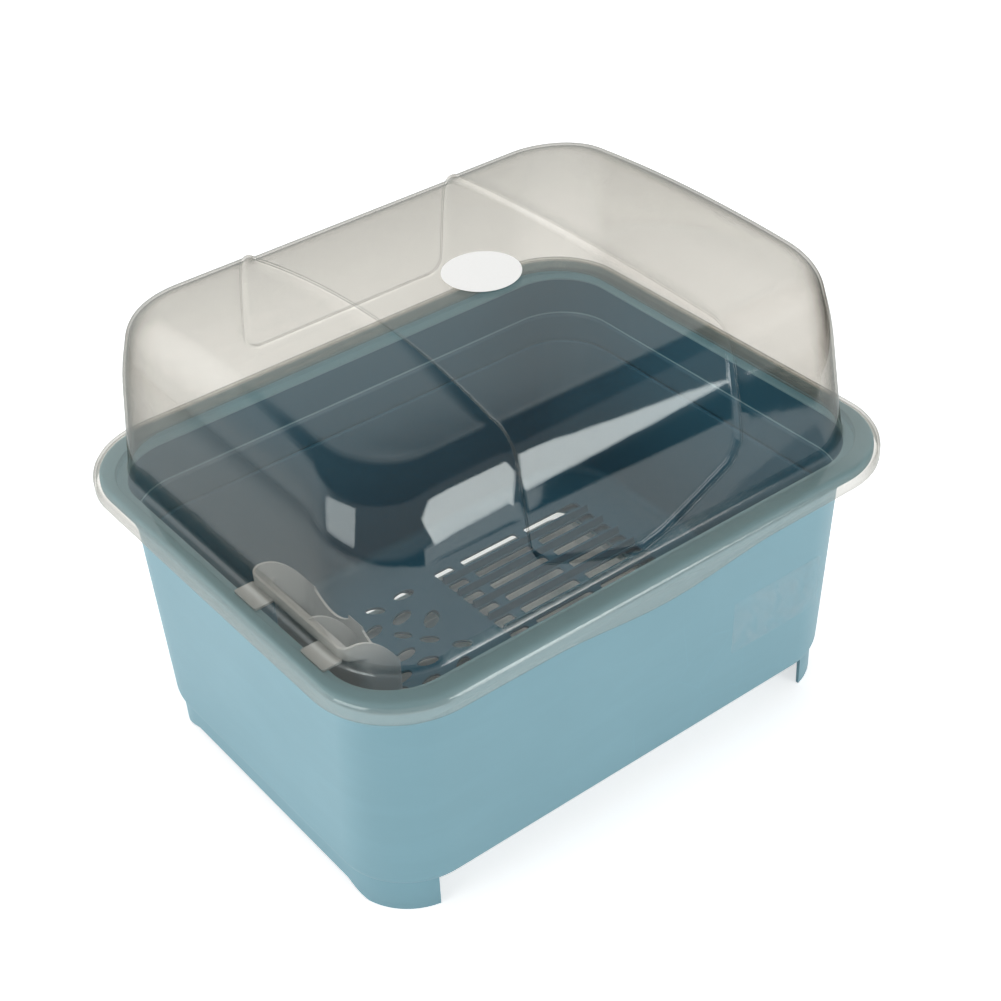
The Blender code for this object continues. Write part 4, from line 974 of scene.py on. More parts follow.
def dome_top(lid, edge, first, under, upwards):
    """Points and faces of the grid that closes the dome's top. edge is the last ring, whose first
    point has the index first in the mesh. A face names a new point by a negative number: -1 is
    the first of the points returned."""
    count, span = lid_counts(lid)
    index = np.arange(first, first + len(edge))
    left = index[2 * count + span :][::-1]
    right = index[count : count + span]
    half_y = top_half_depth(lid)
    rows = [[left[0], *index[:count], right[0]]]
    points = []
    for left_one, right_one in zip(left[1:-1], right[1:-1]):
        x, y, _ = edge[right_one - first]
        half = lid.waist + (lid.half - lid.waist) * (y / half_y) ** 2
        row = [left_one]
        for place in band_columns(half, x, lid.slope, lid.bib_corner):
            sunk = band_depth(lid, half - abs(place))
            crown = lid.crown * (1 - (y / half_y) ** 2)
            points.append((place, y, lid.flange + lid.side_height + crown - under - sunk))
            row.append(-len(points))
        rows.append([*row, right_one])
    rows.append([left[-1], *index[count + span : 2 * count + span][::-1], right[-1]])
    faces = []
    for low, high in zip(rows, rows[1:]):
        for i in range(len(low) - 1):
            corners = (low[i], low[i + 1], high[i + 1], high[i])
            faces.append(corners if upwards else corners[::-1])
    return points, faces


def lid_mesh(lid):
    """The lid as one closed sheet: inner skin from the top down, lip, then outer skin upwards."""
    under = lid.flange - lid.wall
    rounding = [math.pi / 2 * step / 4 for step in range(5)]
    lip_top = lid.flange - lid.lip_round - 3.0 * MM
    rings = dome_rings(lid, lid.wall)[::-1]
    fillet = lid.fillet + lid.wall
    rings += [base_ring(lid, -lid.wall - lid.draft_x * lid.fillet, lid.flange + lid.fillet)]
    for turn in rounding[1:]:
        out = fillet * (1 - math.cos(turn)) - lid.wall
        rings.append(base_ring(lid, out, under + fillet * (1 - math.sin(turn))))
    for turn in rounding:
        inset = lid.lip_round - (lid.lip_round - lid.wall) * math.sin(turn)
        drop = (lid.lip_round - lid.wall) * (1 - math.cos(turn))
        rings.append(flange_ring(lid, inset, under - drop))
    rings.append(flange_ring(lid, lid.wall, lip_top))
    thin = lid.wall - lid.lip_flare
    rings += [lip_ring(lid, thin, 0.5 * MM), lip_ring(lid, thin - 0.3 * MM), lip_ring(lid, 0.3 * MM)]
    rings += [lip_ring(lid, 0.0, 0.5 * MM), flange_ring(lid, 0.0, lip_top)]
    for turn in rounding:
        drop = lid.lip_round * (1 - math.sin(turn))
        inset = lid.lip_round - lid.lip_round * math.cos(turn)
        rings.append(flange_ring(lid, inset, lid.flange - drop))
    for turn in rounding:
        out = lid.fillet * (1 - math.sin(turn)) - lid.draft_x * lid.fillet * math.sin(turn)
        rings.append(base_ring(lid, out, lid.flange + lid.fillet * (1 - math.cos(turn))))
    rings += dome_rings(lid, 0.0)
    around = len(rings[0])
    points = [tuple(point) for part in rings for point in part]
    faces = []
    for number in range(len(rings) - 1):
        for i in range(around):
            low, j = number * around, (i + 1) % around
            faces.append((low + i, low + j, low + around + j, low + around + i))
    inside = (rings[0], 0, lid.wall, False)
    outside = (rings[-1], len(points) - around, 0.0, True)
    for edge in (inside, outside):
        extra, grid = dome_top(lid, *edge)
        start = len(points) - 1
        points += extra
        faces += [tuple(start - int(i) if i < 0 else int(i) for i in corners) for corners in grid]
    return solid("lid_shell", points, faces)


def disc_mesh(radius, low, height):
    """A thin round label whose height follows a function of Y."""
    steps = 96
    flat = radius - 0.05 * MM
    rims = [(radius * share_out, 0.0) for share_out in (0.2, 0.45, 0.7, 0.9)] + [(flat, 0.0)]
    profile = rims + [(radius, 0.2), (radius, 0.8), (flat, 1.0)]
    profile += [(out, 1.0) for out, _ in rims[-2::-1]]
    angles = np.arange(steps) * math.tau / steps
    points = [(0.0, 0.0, low(0.0))]
    for out, level in profile:
        for angle in angles:
            y = out * math.sin(angle)
            points.append((out * math.cos(angle), y, low(y) + level * height))
    points.append((0.0, 0.0, low(0.0) + height))
    faces = []
    for i in range(steps):
        j = (i + 1) % steps
        faces.append((0, 1 + j, 1 + i))
        for number in range(len(profile) - 1):
            start = 1 + number * steps
            faces.append((start + i, start + j, start + steps + j, start + steps + i))
        last = 1 + (len(profile) - 1) * steps
        faces.append((last + i, last + j, len(points) - 1))
    return solid("lid_sticker", points, faces)


# Basin
def wall_row(basin, height, depth=0.0, level=None):
    """Half sizes and corner radius of the basin's wall at a height, at a depth under its skin."""
    fall = basin.height - height
    inset = basin.step * min(max((basin.step_at - height) / basin.step_rise, 0.0), 1.0) + depth
    grown = (basin.foot_corner - basin.wall_corner) * fall / (basin.height - basin.foot)
    half_x = basin.half_x - basin.over_x - basin.draft_x * fall - inset
    half_y = basin.half_y - basin.over_y - basin.draft_y * fall - inset
    return [half_x, half_y, basin.wall_corner + grown - inset, height if level is None else level]


def rim_row(basin, inset, height):
    return [basin.half_x - inset, basin.half_y - inset, basin.corner - inset, height]


def channel_row(basin, widening, height):
    half_x, half_y, radius, _ = wall_row(basin, basin.height, basin.wall)
    return [half_x + widening, half_y + widening, radius + widening, height]


def rings_of(path):
    return [ring(*row) for row in soften(path)]


def basin_body(basin):
    floor = basin.foot + basin.floor
    inner = basin.bottom_round - basin.wall
    channel = basin.height - basin.channel_depth
    under = channel - basin.wall
    roll = basin.height - basin.roll
    fine = 0.6 * MM
    path = [
        (wall_row(basin, basin.foot, 2 * basin.bottom_round), 0),
        (wall_row(basin, basin.foot), basin.bottom_round, 8),
        (wall_row(basin, basin.step_at - basin.step_rise), 2 * fine),
        (wall_row(basin, basin.step_at), 2 * fine),
        (wall_row(basin, under), 2 * fine),
        (channel_row(basin, basin.channel + basin.wall, under), 2 * fine),
        (channel_row(basin, basin.channel + basin.wall, basin.height - basin.wall), 2 * fine),
        (rim_row(basin, basin.wall, basin.height - basin.wall), 2 * fine),
        (rim_row(basin, basin.wall, roll), fine),
        (rim_row(basin, 0.0, roll), fine),
        (rim_row(basin, 0.0, basin.height), basin.rim_round, 6),
        (channel_row(basin, basin.channel, basin.height), fine),
        (channel_row(basin, basin.channel, channel), fine),
        (channel_row(basin, 0.0, channel), fine),
        (wall_row(basin, basin.step_at, basin.wall), 2 * fine),
        (wall_row(basin, basin.step_at - basin.step_rise, basin.wall), 2 * fine),
        (wall_row(basin, floor, basin.wall), inner, 8),
        (wall_row(basin, floor, basin.wall + 2 * inner), 0),
    ]
    return loft("basin_tub", rings_of(path))


def skirt_mesh(basin):
    """The thin skirt under the basin's edge, cut away into four feet and two low side skirts."""
    half_x, half_y, _, _ = wall_row(basin, basin.foot, basin.skirt_inset)
    top = basin.foot + 2.0 * MM
    over = 2.0 * MM

    def row(inset, height):
        return [half_x - inset, half_y - inset, basin.skirt_corner - inset, height]

    path = [
        (row(basin.skirt + basin.skirt_draft, top), 0),
        (row(basin.skirt + basin.skirt_draft, 0.0), 0.5 * MM),
        (row(basin.skirt_draft, 0.0), 0.5 * MM),
        (row(0.0, top), 0),
    ]
    body = loft("skirt", rings_of(path), closed=True)
    reach_y = half_y + over
    ends = half_x - basin.long_arm
    long_cut = prism("long_cut", box_outline(-ends, ends, -reach_y, reach_y), -over, top + over, upright)
    foot_y = half_y - basin.short_arm
    slope = basin.foot_slope / basin.clearance
    outline = [(-foot_y - slope * over, -over), (foot_y + slope * over, -over)]
    outline += [(foot_y - basin.foot_slope, basin.clearance), (basin.foot_slope - foot_y, basin.clearance)]
    side_cut = prism("side_cut", outline, -half_x - over, half_x + over, along_x)
    return carved("skirt", body, [(long_cut, "DIFFERENCE"), (side_cut, "DIFFERENCE")])


def basin_mesh(basin):
    floor_middle = basin.foot + basin.floor / 2
    windows = opening_pattern().grown("windows", {
        "Columns": basin.windows,
        "Column pitch": (basin.field_x + basin.web) / basin.windows,
        "Length": (basin.field_x - (basin.windows - 1) * basin.web) / basin.windows,
        "Width": basin.field_y,
        "Corner": basin.window_corner,
        "Height": 4 * basin.floor,
        "Place": (0.0, 0.0, floor_middle - 2 * basin.floor),
    })
    return carved("basin_tub", basin_body(basin), [(skirt_mesh(basin), "UNION"), (windows, "DIFFERENCE")])


def film_mesh(basin, labels):
    """A thin film on the front wall that leans with it, with rounded corners."""
    outline = ring(labels.film_length / 2, labels.film_height / 2, labels.film_corner, 0.0)
    rings = []
    for out, shrink in ((0.0, 0.0), (0.3, 0.0), (1.0, 0.06 * MM)):
        points = []
        for u, v, _ in outline:
            share_in = 1 - shrink / labels.film_length
            height = labels.film_z + v * share_in
            wall = wall_row(basin, height)[1]
            y = -wall - labels.gap - out * labels.thickness
            points.append((labels.film_x + u * share_in, y, height))
        rings.append(np.array(points))
    return loft("front_film", rings)


# Drain basket
def basket_row(basin, basket, height, inset):
    lower = min(height, basin.step_at - basin.step_rise)
    return wall_row(basin, lower, basin.wall + basket.gap + inset, height)


def basket_mesh(basin, basket):
    under = basket.top - basket.lip_height
    floor = basket.low + basket.floor
    inner = basket.bottom_round - basket.wall
    fine = 0.5 * MM
    path = [
        (basket_row(basin, basket, basket.low, 2 * basket.bottom_round), 0),
        (basket_row(basin, basket, basket.low, 0.0), basket.bottom_round, 8),
        (basket_row(basin, basket, under, 0.0), fine),
        (basket_row(basin, basket, under, -basket.lip), fine),
        (basket_row(basin, basket, basket.top, -basket.lip), 2 * fine),
        (basket_row(basin, basket, basket.top, basket.wall), 2 * fine),
        (basket_row(basin, basket, floor, basket.wall), inner, 8),
        (basket_row(basin, basket, floor, basket.wall + 2 * inner), 0),
    ]
    shell = loft("basket_shell", rings_of(path))
    half_x, half_y, _, _ = wall_row(basin, basket.low, basin.wall + basket.gap)
    openings = opening_pattern()
    pads = openings.grown("pads", {
        "Columns": 2,
        "Column pitch": 2 * (half_x - basket.pad_inset),
        "Rows": 2,
        "Row pitch": 2 * (half_y - basket.pad_inset),
        "Length": 2 * basket.pad_radius,
        "Width": 2 * basket.pad_radius,
        "Corner": basket.pad_radius * NEARLY_ROUND,
        "Height": basket.pad + basket.floor / 2,
        "Place": (0.0, 0.0, basket.low - basket.pad),
    })
    deep = {"Height": 4 * basket.floor, "Rows": basket.rows, "Row pitch": basket.pitch}
    level = basket.low - 1.5 * basket.floor
    slot = {**deep, "Width": basket.slot, "Corner": basket.slot_corner}
    short = openings.grown("short_slots", {
        **slot,
        "Length": basket.slot_short,
        "Place": (basket.slot_start + basket.slot_short / 2, 0.0, level),
    })
    start = basket.slot_start + basket.slot_short
    long_slots = openings.grown("long_slots", {
        **slot,
        "Columns": 2,
        "Column pitch": basket.slot_long + basket.slot_land,
        "Length": basket.slot_long,
        "Place": (start + basket.slot_land * 1.5 + basket.slot_long, 0.0, level),
    })
    reach = (basket.pebbles - 1) * basket.pebble_pitch / 2
    pebbles = pebble_pattern().grown("pebbles", {
        **deep,
        "Columns": basket.pebbles,
        "Column pitch": basket.pebble_pitch,
        "Length": basket.pebble_length,
        "Width": basket.pebble_width,
        "Stagger": -basket.pebble_pitch / 2,
        "Place": (-basket.pebble_start - reach, 0.0, level),
    })
    end = start + 2 * (basket.slot_land + basket.slot_long)
    root = 1.2 * MM
    ribs = rib_pattern().grown("plate_ribs", {
        "Rows": basket.rows - 1,
        "Row pitch": basket.pitch,
        "Length": end - basket.slot_start,
        "Width": basket.rib,
        "Top width": basket.rib * basket.rib_top,
        "Height": basket.rib_height + root,
        "Place": ((basket.slot_start + end) / 2, 0.0, floor + (basket.rib_height - root) / 2),
    })
    added = [(pads, "UNION"), (ribs, "UNION")]
    cut = [(mesh, "DIFFERENCE") for mesh in (short, long_slots, pebbles)]
    return carved("basket_shell", shell, added + cut)


# Cutlery holder
WAVE_STEPS = 28


class HolderPlaces:
    """Places that follow from the sizes of the holder and of the basin that it hangs in."""

    def __init__(self, basin, holder):
        self.length = holder.far_pocket + holder.near_pocket
        self.middle = holder.far_end - self.length / 2
        self.divider = holder.far_end - holder.far_pocket
        self.rim_x = wall_row(basin, basin.height, basin.wall)[0]
        self.side = holder.rim_gap - self.rim_x
        self.crease = self.side + holder.lean
        self.inner = self.crease + holder.width
        self.top = basin.height + holder.crest
        self.ledge = basin.height - basin.channel_depth
        self.foot = self.ledge - holder.collar
        self.half_wall = holder.wall / 2


def wave_level(holder, at, place):
    """Height of a cross wall's top at a share of the collar's width, from the rim side inwards."""
    if place < holder.crest_at:
        return at.top - (holder.crest - holder.wave_start) * (1 - place / holder.crest_at) ** 2
    return at.top - holder.fall * ((place - holder.crest_at) / (1 - holder.crest_at)) ** 2


def pot_shell(holder, at):
    """The open pot with its leaning collar, still with a level top."""
    past = 3 * MM
    bottom_round = 1.5 * MM
    crease_round = 1.2 * MM

    def row(height, inset, lean):
        narrowing = holder.draft * (at.top - height) + inset
        half_x = (holder.width + lean) / 2 - narrowing
        middle_x = at.inner - (holder.width + lean) / 2
        return [half_x, at.length / 2 - narrowing, holder.corner - inset, height, middle_x]

    floor = holder.bottom + holder.wall
    path = [
        (row(holder.bottom, past, 0.0), 0),
        (row(holder.bottom, 0.0, 0.0), bottom_round, 4),
        (row(at.foot, 0.0, 0.0), crease_round),
        (row(at.ledge, 0.0, holder.lean), crease_round),
        (row(at.top, 0.0, holder.lean), 0),
        (row(at.top, holder.wall, holder.lean), 0),
        (row(at.ledge + at.half_wall, holder.wall, holder.lean), crease_round),
        (row(at.foot + at.half_wall, holder.wall, 0.0), crease_round),
        (row(floor, holder.wall, 0.0), bottom_round, 4),
        (row(floor, holder.wall + past, 0.0), 0),
    ]
    return loft("cutlery_pot", [ring(*row, at.middle) for row in soften(path)])


def pot_divider(holder, at):
    """The wall between the two pockets, with a wave-shaped top."""
    seat_x = at.crease - holder.lean * holder.divider_seat
    seat = (seat_x - at.side) / (at.inner - at.side)
    low = holder.bottom + at.half_wall
    narrow = holder.draft * (at.top - holder.bottom) + at.half_wall
    outline = [(at.crease + narrow, low), (at.inner - narrow, low)]
    for step in range(WAVE_STEPS + 1):
        place = 1 - (1 - seat) * step / WAVE_STEPS
        x = min(at.side + place * (at.inner - at.side), at.inner - at.half_wall)
        outline.append((x, wave_level(holder, at, place) - holder.divider_drop))
    outline.append((at.crease + at.half_wall, at.foot + at.half_wall))
    return prism("divider", outline, at.divider - at.half_wall, at.divider + at.half_wall, along_y)


def wave_cut(holder, at):
    """What is cut off the pot above the waves of its end walls."""
    over = MM
    wave = []
    for step in range(WAVE_STEPS + 1):
        place = at.side + (at.inner - at.side) * step / WAVE_STEPS
        wave.append((place, wave_level(holder, at, step / WAVE_STEPS)))
    wave[0] = (at.side - over, wave[0][1])
    wave[-1] = (at.inner + over, wave[-1][1])
    wave += [(at.inner + over, at.top + over), (at.side - over, at.top + over)]
    reach = at.length / 2 + over
    return prism("above", wave, at.middle - reach, at.middle + reach, along_y)


def dip_cuts(holder, at):
    """What is cut off the inner wall at the dip of each pocket."""
    over = MM
    outer_x = at.inner + over
    level = wave_level(holder, at, 1.0)
    cuts = []
    for way, pocket in ((1, holder.far_pocket), (-1, holder.near_pocket)):
        centre = at.divider + way * pocket / 2
        half = pocket / 2 - holder.corner
        dip = []
        for step in range(WAVE_STEPS + 1):
            turn = math.pi * step / WAVE_STEPS
            dip.append((centre - half * math.cos(turn), level - holder.dip * math.sin(turn) ** 2))
        dip += [(centre + half, level + holder.dip), (centre - half, level + holder.dip)]
        cuts.append(prism("dip", dip, outer_x - holder.wall - 2 * over, outer_x, along_x))
    return cuts


def holder_mesh(basin, holder):
    at = HolderPlaces(basin, holder)
    end = holder.hook_gap - at.rim_x - basin.channel
    root = at.side + at.half_wall
    tabs = opening_pattern().grown("tabs", {
        "Rows": 2,
        "Row pitch": holder.hook_spread,
        "Length": root - end,
        "Width": holder.hook,
        "Corner": 1.5 * MM,
        "Height": holder.hook_wall,
        "Place": ((end + root) / 2, at.middle, at.ledge + 0.3 * MM),
    })
    slots = opening_pattern().grown("pot_slots", {
        "Rows": int((at.length - 2 * holder.slot_margin) / holder.slot_pitch),
        "Row pitch": holder.slot_pitch,
        "Length": holder.width - 2 * holder.slot_margin,
        "Width": holder.slot,
        "Corner": holder.slot / 2 * NEARLY_ROUND,
        "Height": 4 * holder.wall,
        "Place": (at.crease + holder.width / 2, at.middle, holder.bottom - 1.5 * holder.wall),
    })
    return carved("cutlery_pot", pot_shell(holder, at), [
        (slots, "DIFFERENCE"),
        (pot_divider(holder, at), "UNION"),
        (wave_cut(holder, at), "DIFFERENCE"),
        *[(cut, "DIFFERENCE") for cut in dip_cuts(holder, at)],
        (tabs, "UNION"),
    ])


# Drip tray
def tray_mesh(tray):
    base = tray.ground
    top = base + tray.height

    def row(height, inset):
        narrowing = tray.rim + inset + tray.draft * (top - height)
        return [tray.length / 2 - narrowing, tray.depth / 2 - narrowing, tray.corner - narrowing, height]

    full = [tray.length / 2, tray.depth / 2, tray.corner]
    fine = 0.4 * MM
    path = [
        (row(base, 4 * MM), 0),
        (row(base, 0.0), 2 * MM, 4),
        (row(top - tray.wall, 0.0), 2 * fine),
        ([*full, top - tray.wall], fine),
        ([*full, top], 1.5 * fine),
        (row(top, tray.wall), 2 * fine),
        (row(base + tray.wall, tray.wall), 1.2 * MM, 4),
        (row(base + tray.wall, tray.wall + 3 * MM), 0),
    ]
    shell = loft("tray_pan", rings_of(path))
    reach = tray.depth / 2 + tray.pull_reach
    inner = tray.depth / 2 - tray.rim / 2
    pull_rings = []
    for inset, drop in ((fine, 1.0), (0.0, 0.8), (0.0, 0.2), (fine, 0.0)):
        half_y = (reach - inner) / 2 - inset
        middle_y = -(reach + inner) / 2
        sides = [tray.pull / 2 - inset, half_y, half_y * NEARLY_ROUND]
        pull_rings.append(ring(*sides, top - tray.wall * drop, 0.0, middle_y))
    ribs = rib_pattern().grown("tray_ribs", {
        "Rows": tray.ribs,
        "Row pitch": tray.rib_pitch,
        "Length": tray.rib_length,
        "Width": tray.rib,
        "Top width": tray.rib * 0.5,
        "Height": tray.rib_height + tray.wall / 2,
        "Place": (0.0, 0.0, base + tray.wall * 0.75 + tray.rib_height / 2),
    })
    return carved("tray_pan", shell, [(loft("pull", pull_rings), "UNION"), (ribs, "UNION")])


# Settings, operators and panel
class DrainerSettings(bpy.types.PropertyGroup):
    """Sizes and colours of the whole drainer"""

    lid: PointerProperty(type=LidSizes)
    basin: PointerProperty(type=BasinSizes)
    basket: PointerProperty(type=BasketSizes)
    holder: PointerProperty(type=HolderSizes)
    tray: PointerProperty(type=TraySizes)
    labels: PointerProperty(type=LabelSizes)
    finishes: PointerProperty(type=Finishes)


class DRAINER_OT_basin(bpy.types.Operator):
    """Make the basin with its rim channel, feet, side skirts and floor windows"""

    bl_idname = "drainer.basin"
    bl_label = "Basin"
    bl_options = {"REGISTER", "UNDO"}

    def execute(self, context):
        drainer = context.scene.drainer
        finishes = drainer.finishes
        # The basket's darker teal is also painted inside the basin as shade.
        material = moulded_plastic(
            "teal basin plastic", finishes.teal[:], roughness=0.42, grain_scale=900.0, grain=0.05,
            inner=finishes.deep[:], basin=drainer.basin,
        )
        piece("basin_tub", basin_mesh(drainer.basin), material, "basin", "basin")
        return {"FINISHED"}


class DRAINER_OT_rails(bpy.types.Operator):
    """Give the two tray rails under the basin their finish"""

    bl_idname = "drainer.rails"
    bl_label = "Tray rails"
    bl_options = {"REGISTER", "UNDO"}

    def execute(self, context):
        drainer = context.scene.drainer
        teal = drainer.finishes.teal[:]
        material = moulded_plastic(
            "teal rail plastic", teal, roughness=0.48, grain_scale=900.0, grain=0.15
        )
        for name in ("tray_rail_left", "tray_rail_right"):
            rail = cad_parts[name]
            rail.data.materials.clear()
            rail.data.materials.append(material)
        return {"FINISHED"}


class DRAINER_OT_basket(bpy.types.Operator):
    """Make the drain basket with its slots, pebble-shaped holes and plate ribs"""

    bl_idname = "drainer.basket"
    bl_label = "Drain basket"
    bl_options = {"REGISTER", "UNDO"}

    def execute(self, context):
        drainer = context.scene.drainer
        deep = drainer.finishes.deep[:]
        material = moulded_plastic(
            "deep teal basket plastic", deep, roughness=0.45, grain_scale=900.0, grain=0.03
        )
        mesh = basket_mesh(drainer.basin, drainer.basket)
        piece("basket_shell", mesh, material, "basket", "drain_basket")
        return {"FINISHED"}


class DRAINER_OT_holder(bpy.types.Operator):
    """Make the cutlery holder with its collar, divider, tabs and drain slots"""

    bl_idname = "drainer.holder"
    bl_label = "Cutlery holder"
    bl_options = {"REGISTER", "UNDO"}

    def execute(self, context):
        drainer = context.scene.drainer
        material = frosted_plastic("frosted holder plastic", drainer.finishes.frost[:])
        mesh = holder_mesh(drainer.basin, drainer.holder)
        piece("cutlery_pot", mesh, material, "holder", "cutlery_holder")
        return {"FINISHED"}


class DRAINER_OT_tray(bpy.types.Operator):
    """Make the drip tray with its pull and floor ribs"""

    bl_idname = "drainer.tray"
    bl_label = "Drip tray"
    bl_options = {"REGISTER", "UNDO"}

    def execute(self, context):
        drainer = context.scene.drainer
        white = drainer.finishes.white[:]
        material = moulded_plastic(
            "white tray plastic", white, roughness=0.40, grain_scale=700.0, grain=0.10
        )
        piece("tray_pan", tray_mesh(drainer.tray), material, "tray", "drip_tray")
        return {"FINISHED"}


class DRAINER_OT_lid(bpy.types.Operator):
    """Make the clear dome lid with its saddle band, flange and finger grip"""

    bl_idname = "drainer.lid"
    bl_label = "Lid"
    bl_options = {"REGISTER", "UNDO"}

    def execute(self, context):
        drainer = context.scene.drainer
        # pale is the colour of the painted veil on the lid's flange and lip.
        tint, pale = drainer.finishes.smoke[:], drainer.finishes.milk[:]
        material = smoky_sheet("smoky lid sheet", tint, pale, drainer.lid)
        mesh = lid_mesh(drainer.lid)
        piece("lid_shell", mesh, material, "lid", "lid", sharp=70)
        return {"FINISHED"}


class DRAINER_OT_labels(bpy.types.Operator):
    """Make the bare round label on the lid and the bare film on the front"""

    bl_idname = "drainer.labels"
    bl_label = "Labels"
    bl_options = {"REGISTER", "UNDO"}

    def execute(self, context):
        drainer = context.scene.drainer
        lid, labels, finishes = drainer.lid, drainer.labels, drainer.finishes
        half_y = top_half_depth(lid)
        seat = lid.flange + lid.side_height - lid.saddle + labels.gap

        def low(y):
            return seat + lid.crown * (1 - (y / half_y) ** 2)

        paper = label_stock("bare paper label", finishes.paper[:], alpha=1.0, roughness=0.5, fibre=0.2)
        disc = disc_mesh(labels.radius, low, labels.thickness)
        disc.transform(Matrix.Translation((labels.round_x, 0.0, 0.0)))
        piece("lid_sticker", disc, paper, "lid", "lid_label")
        film = label_stock("bare film label", finishes.film[:], alpha=0.06, roughness=0.22, fibre=0.05)
        front = film_mesh(drainer.basin, labels)
        piece("front_film", front, film, "basin", "front_label")
        return {"FINISHED"}


# Stage
EYE = (-599.8 * MM, -837.9 * MM, 912.9 * MM)
YAW, PITCH, ROLL = (math.radians(angle) for angle in (-36.06, 36.24, -3.338))
LENS = 69.27
SENSOR = 36.0

# Corners of the floor, in metres, which is cut away slantwise at its front right
FLOOR = [(-4.0, -1.6, 0.0), (-0.59, -1.6, 0.0), (4.0, 2.53, 0.0), (4.0, 6.0, 0.0), (-4.0, 6.0, 0.0)]


def add_camera():
    """The photograph's own viewpoint, level of tilt and length of lens."""
    level = math.cos(PITCH)
    ahead = Vector((-math.sin(YAW) * level, math.cos(YAW) * level, -math.sin(PITCH)))
    right = Vector((math.cos(YAW), math.sin(YAW), 0.0))
    above = right.cross(ahead)
    rolled_right = right * math.cos(ROLL) + above * math.sin(ROLL)
    rolled_above = above * math.cos(ROLL) - right * math.sin(ROLL)
    data = bpy.data.cameras.new("camera")
    data.lens = LENS
    data.sensor_width = SENSOR
    data.sensor_fit = "HORIZONTAL"
    data.clip_start = 0.05
    data.clip_end = 20.0
    camera = show("camera", data)
    turn = Matrix((rolled_right, rolled_above, -ahead)).transposed().to_4x4()
    camera.matrix_world = Matrix.Translation(EYE) @ turn
    bpy.context.scene.camera = camera


def add_box(name, place, target, width, height, power, roll=0.0):
    """A soft box light that points at a target and is rolled about that line, in degrees."""
    data = bpy.data.lights.new(name, "AREA")
    data.shape = "RECTANGLE"
    data.size = width
    data.size_y = height
    data.energy = power
    light = show(name, data)
    light.visible_camera = False
    aim = Vector(target) - Vector(place)
    turn = aim.to_track_quat("-Z", "Y").to_matrix().to_4x4()
    turn = turn @ Matrix.Rotation(math.radians(roll), 4, "Z")
    light.matrix_world = Matrix.Translation(place) @ turn
    return light


def looks(finish):
    """1 for the rays that look straight or through clear sheet, and 1 for those in a gloss."""
    rays = finish.node("ShaderNodeLightPath").socket.node
    names = ("Is Camera Ray", "Is Transmission Ray", "Is Glossy Ray")
    camera, through, glossy = (Wire(finish, rays.outputs[name]) for name in names)
    return camera.highest(through), glossy


def add_floor():
    """A pale matt floor, which glows a little to the eye so that it fades into the white."""
    finish = Finish(bpy.data.materials.new("pale floor"))
    grain = finish.noise(finish.place(), scale=3.0)
    shade = finish.mix(grain * 0.5, (0.90, 0.90, 0.90), (0.93, 0.93, 0.93))
    matt = finish.node("ShaderNodeBsdfDiffuse", {}, {"Color": shade})
    straight, glossy = looks(finish)
    strength = straight * 0.62 + glossy * 0.4
    glow = finish.node("ShaderNodeEmission", {}, {"Color": (1.0, 1.0, 1.0), "Strength": strength})
    mesh = solid("floor", FLOOR, [tuple(range(len(FLOOR)))])
    mesh.materials.append(finish.done(finish.node("ShaderNodeAddShader", {}, {0: matt, 1: glow})))
    show("floor", mesh)


def light_world():
    """White behind the object, pale walls round it and a dark ceiling over it."""
    world = bpy.data.worlds.new("pale studio")
    bpy.context.scene.world = world
    finish = Finish(world)
    _, ahead, height = finish.axes(finish.node("ShaderNodeTexCoord", output="Generated"))
    behind = ahead.between(0.1, 0.5)
    ceiling = height.between(0.62, 0.76)
    walls = height.between(-0.12, 0.0) * (1 - ceiling)
    straight, _ = looks(finish)
    strength = (walls * (0.42 + behind * 0.75) + ceiling * 0.10 + 0.04).highest(straight)
    sky = finish.node("ShaderNodeBackground", {}, {"Color": (1.0, 1.0, 1.0), "Strength": strength})
    finish.done(sky, "ShaderNodeOutputWorld")


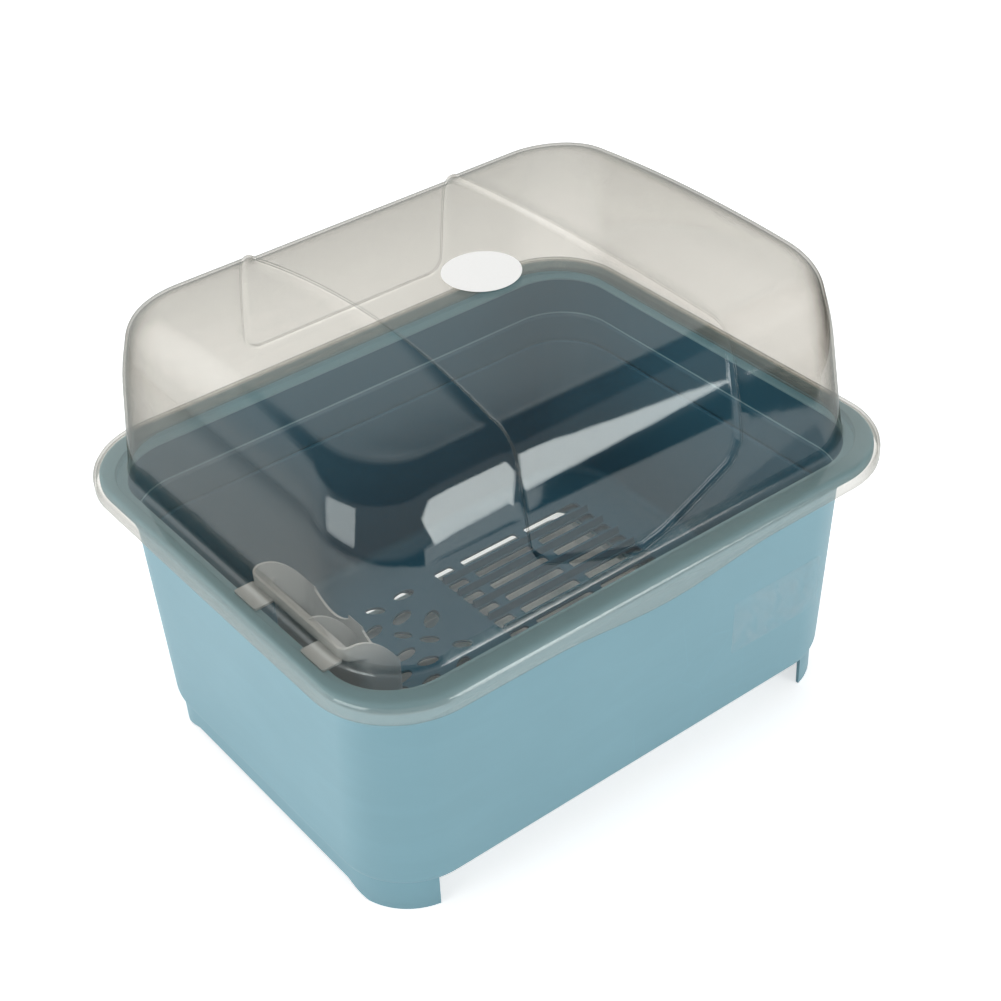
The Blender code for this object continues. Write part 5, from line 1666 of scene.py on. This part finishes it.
class DRAINER_OT_stage(bpy.types.Operator):
    """Make the pale floor, the soft studio light and the camera"""

    bl_idname = "drainer.stage"
    bl_label = "Stage"
    bl_options = {"REGISTER", "UNDO"}

    def execute(self, context):
        add_camera()
        add_floor()
        light_world()
        add_box("left_box", (-1.75, -0.15, 0.85), (0.0, 0.0, 0.25), width=1.05, height=0.9, power=8.8)
        add_box(
            "right_box", (0.76, -1.87, 0.60), (0.0, 0.0, 0.28),
            width=0.70, height=0.95, power=11.5, roll=26.0,
        )
        add_box("low_fill", (0.42, -1.52, -0.02), (-0.1, -0.15, 0.28), width=0.55, height=0.34, power=0.9)
        overhead = add_box("overhead", (0.05, 0.1, 2.0), (0.0, 0.0, 0.2), width=1.3, height=1.0, power=14.0)
        overhead.visible_glossy = False
        bpy.context.scene.view_settings.view_transform = "Standard"
        return {"FINISHED"}


MAKERS = (
    DRAINER_OT_basin, DRAINER_OT_rails, DRAINER_OT_basket, DRAINER_OT_holder, DRAINER_OT_tray,
    DRAINER_OT_lid, DRAINER_OT_labels, DRAINER_OT_stage,
)


class DRAINER_PT_panel(bpy.types.Panel):
    """The drainer's operators and sizes"""

    bl_label = "Covered dish drainer"
    bl_idname = "DRAINER_PT_panel"
    bl_space_type = "VIEW_3D"
    bl_region_type = "UI"
    bl_category = "Drainer"

    def draw(self, context):
        for maker in MAKERS:
            self.layout.operator(maker.bl_idname)
        for name in DrainerSettings.__annotations__:
            group = getattr(context.scene.drainer, name)
            box = self.layout.box()
            box.label(text=type(group).__doc__)
            for field in type(group).__annotations__:
                box.prop(group, field)


CLASSES = (
    LidSizes, BasinSizes, BasketSizes, HolderSizes, TraySizes, LabelSizes, Finishes, DrainerSettings,
    *MAKERS, DRAINER_PT_panel,
)


def register():
    for cls in CLASSES:
        bpy.utils.register_class(cls)
    bpy.types.Scene.drainer = PointerProperty(type=DrainerSettings)


def unregister():
    del bpy.types.Scene.drainer
    for cls in reversed(CLASSES):
        bpy.utils.unregister_class(cls)


def main():
    register()
    for maker in MAKERS:
        family, action = maker.bl_idname.split(".")
        getattr(getattr(bpy.ops, family), action)()


if __name__ == "__main__":
    main()
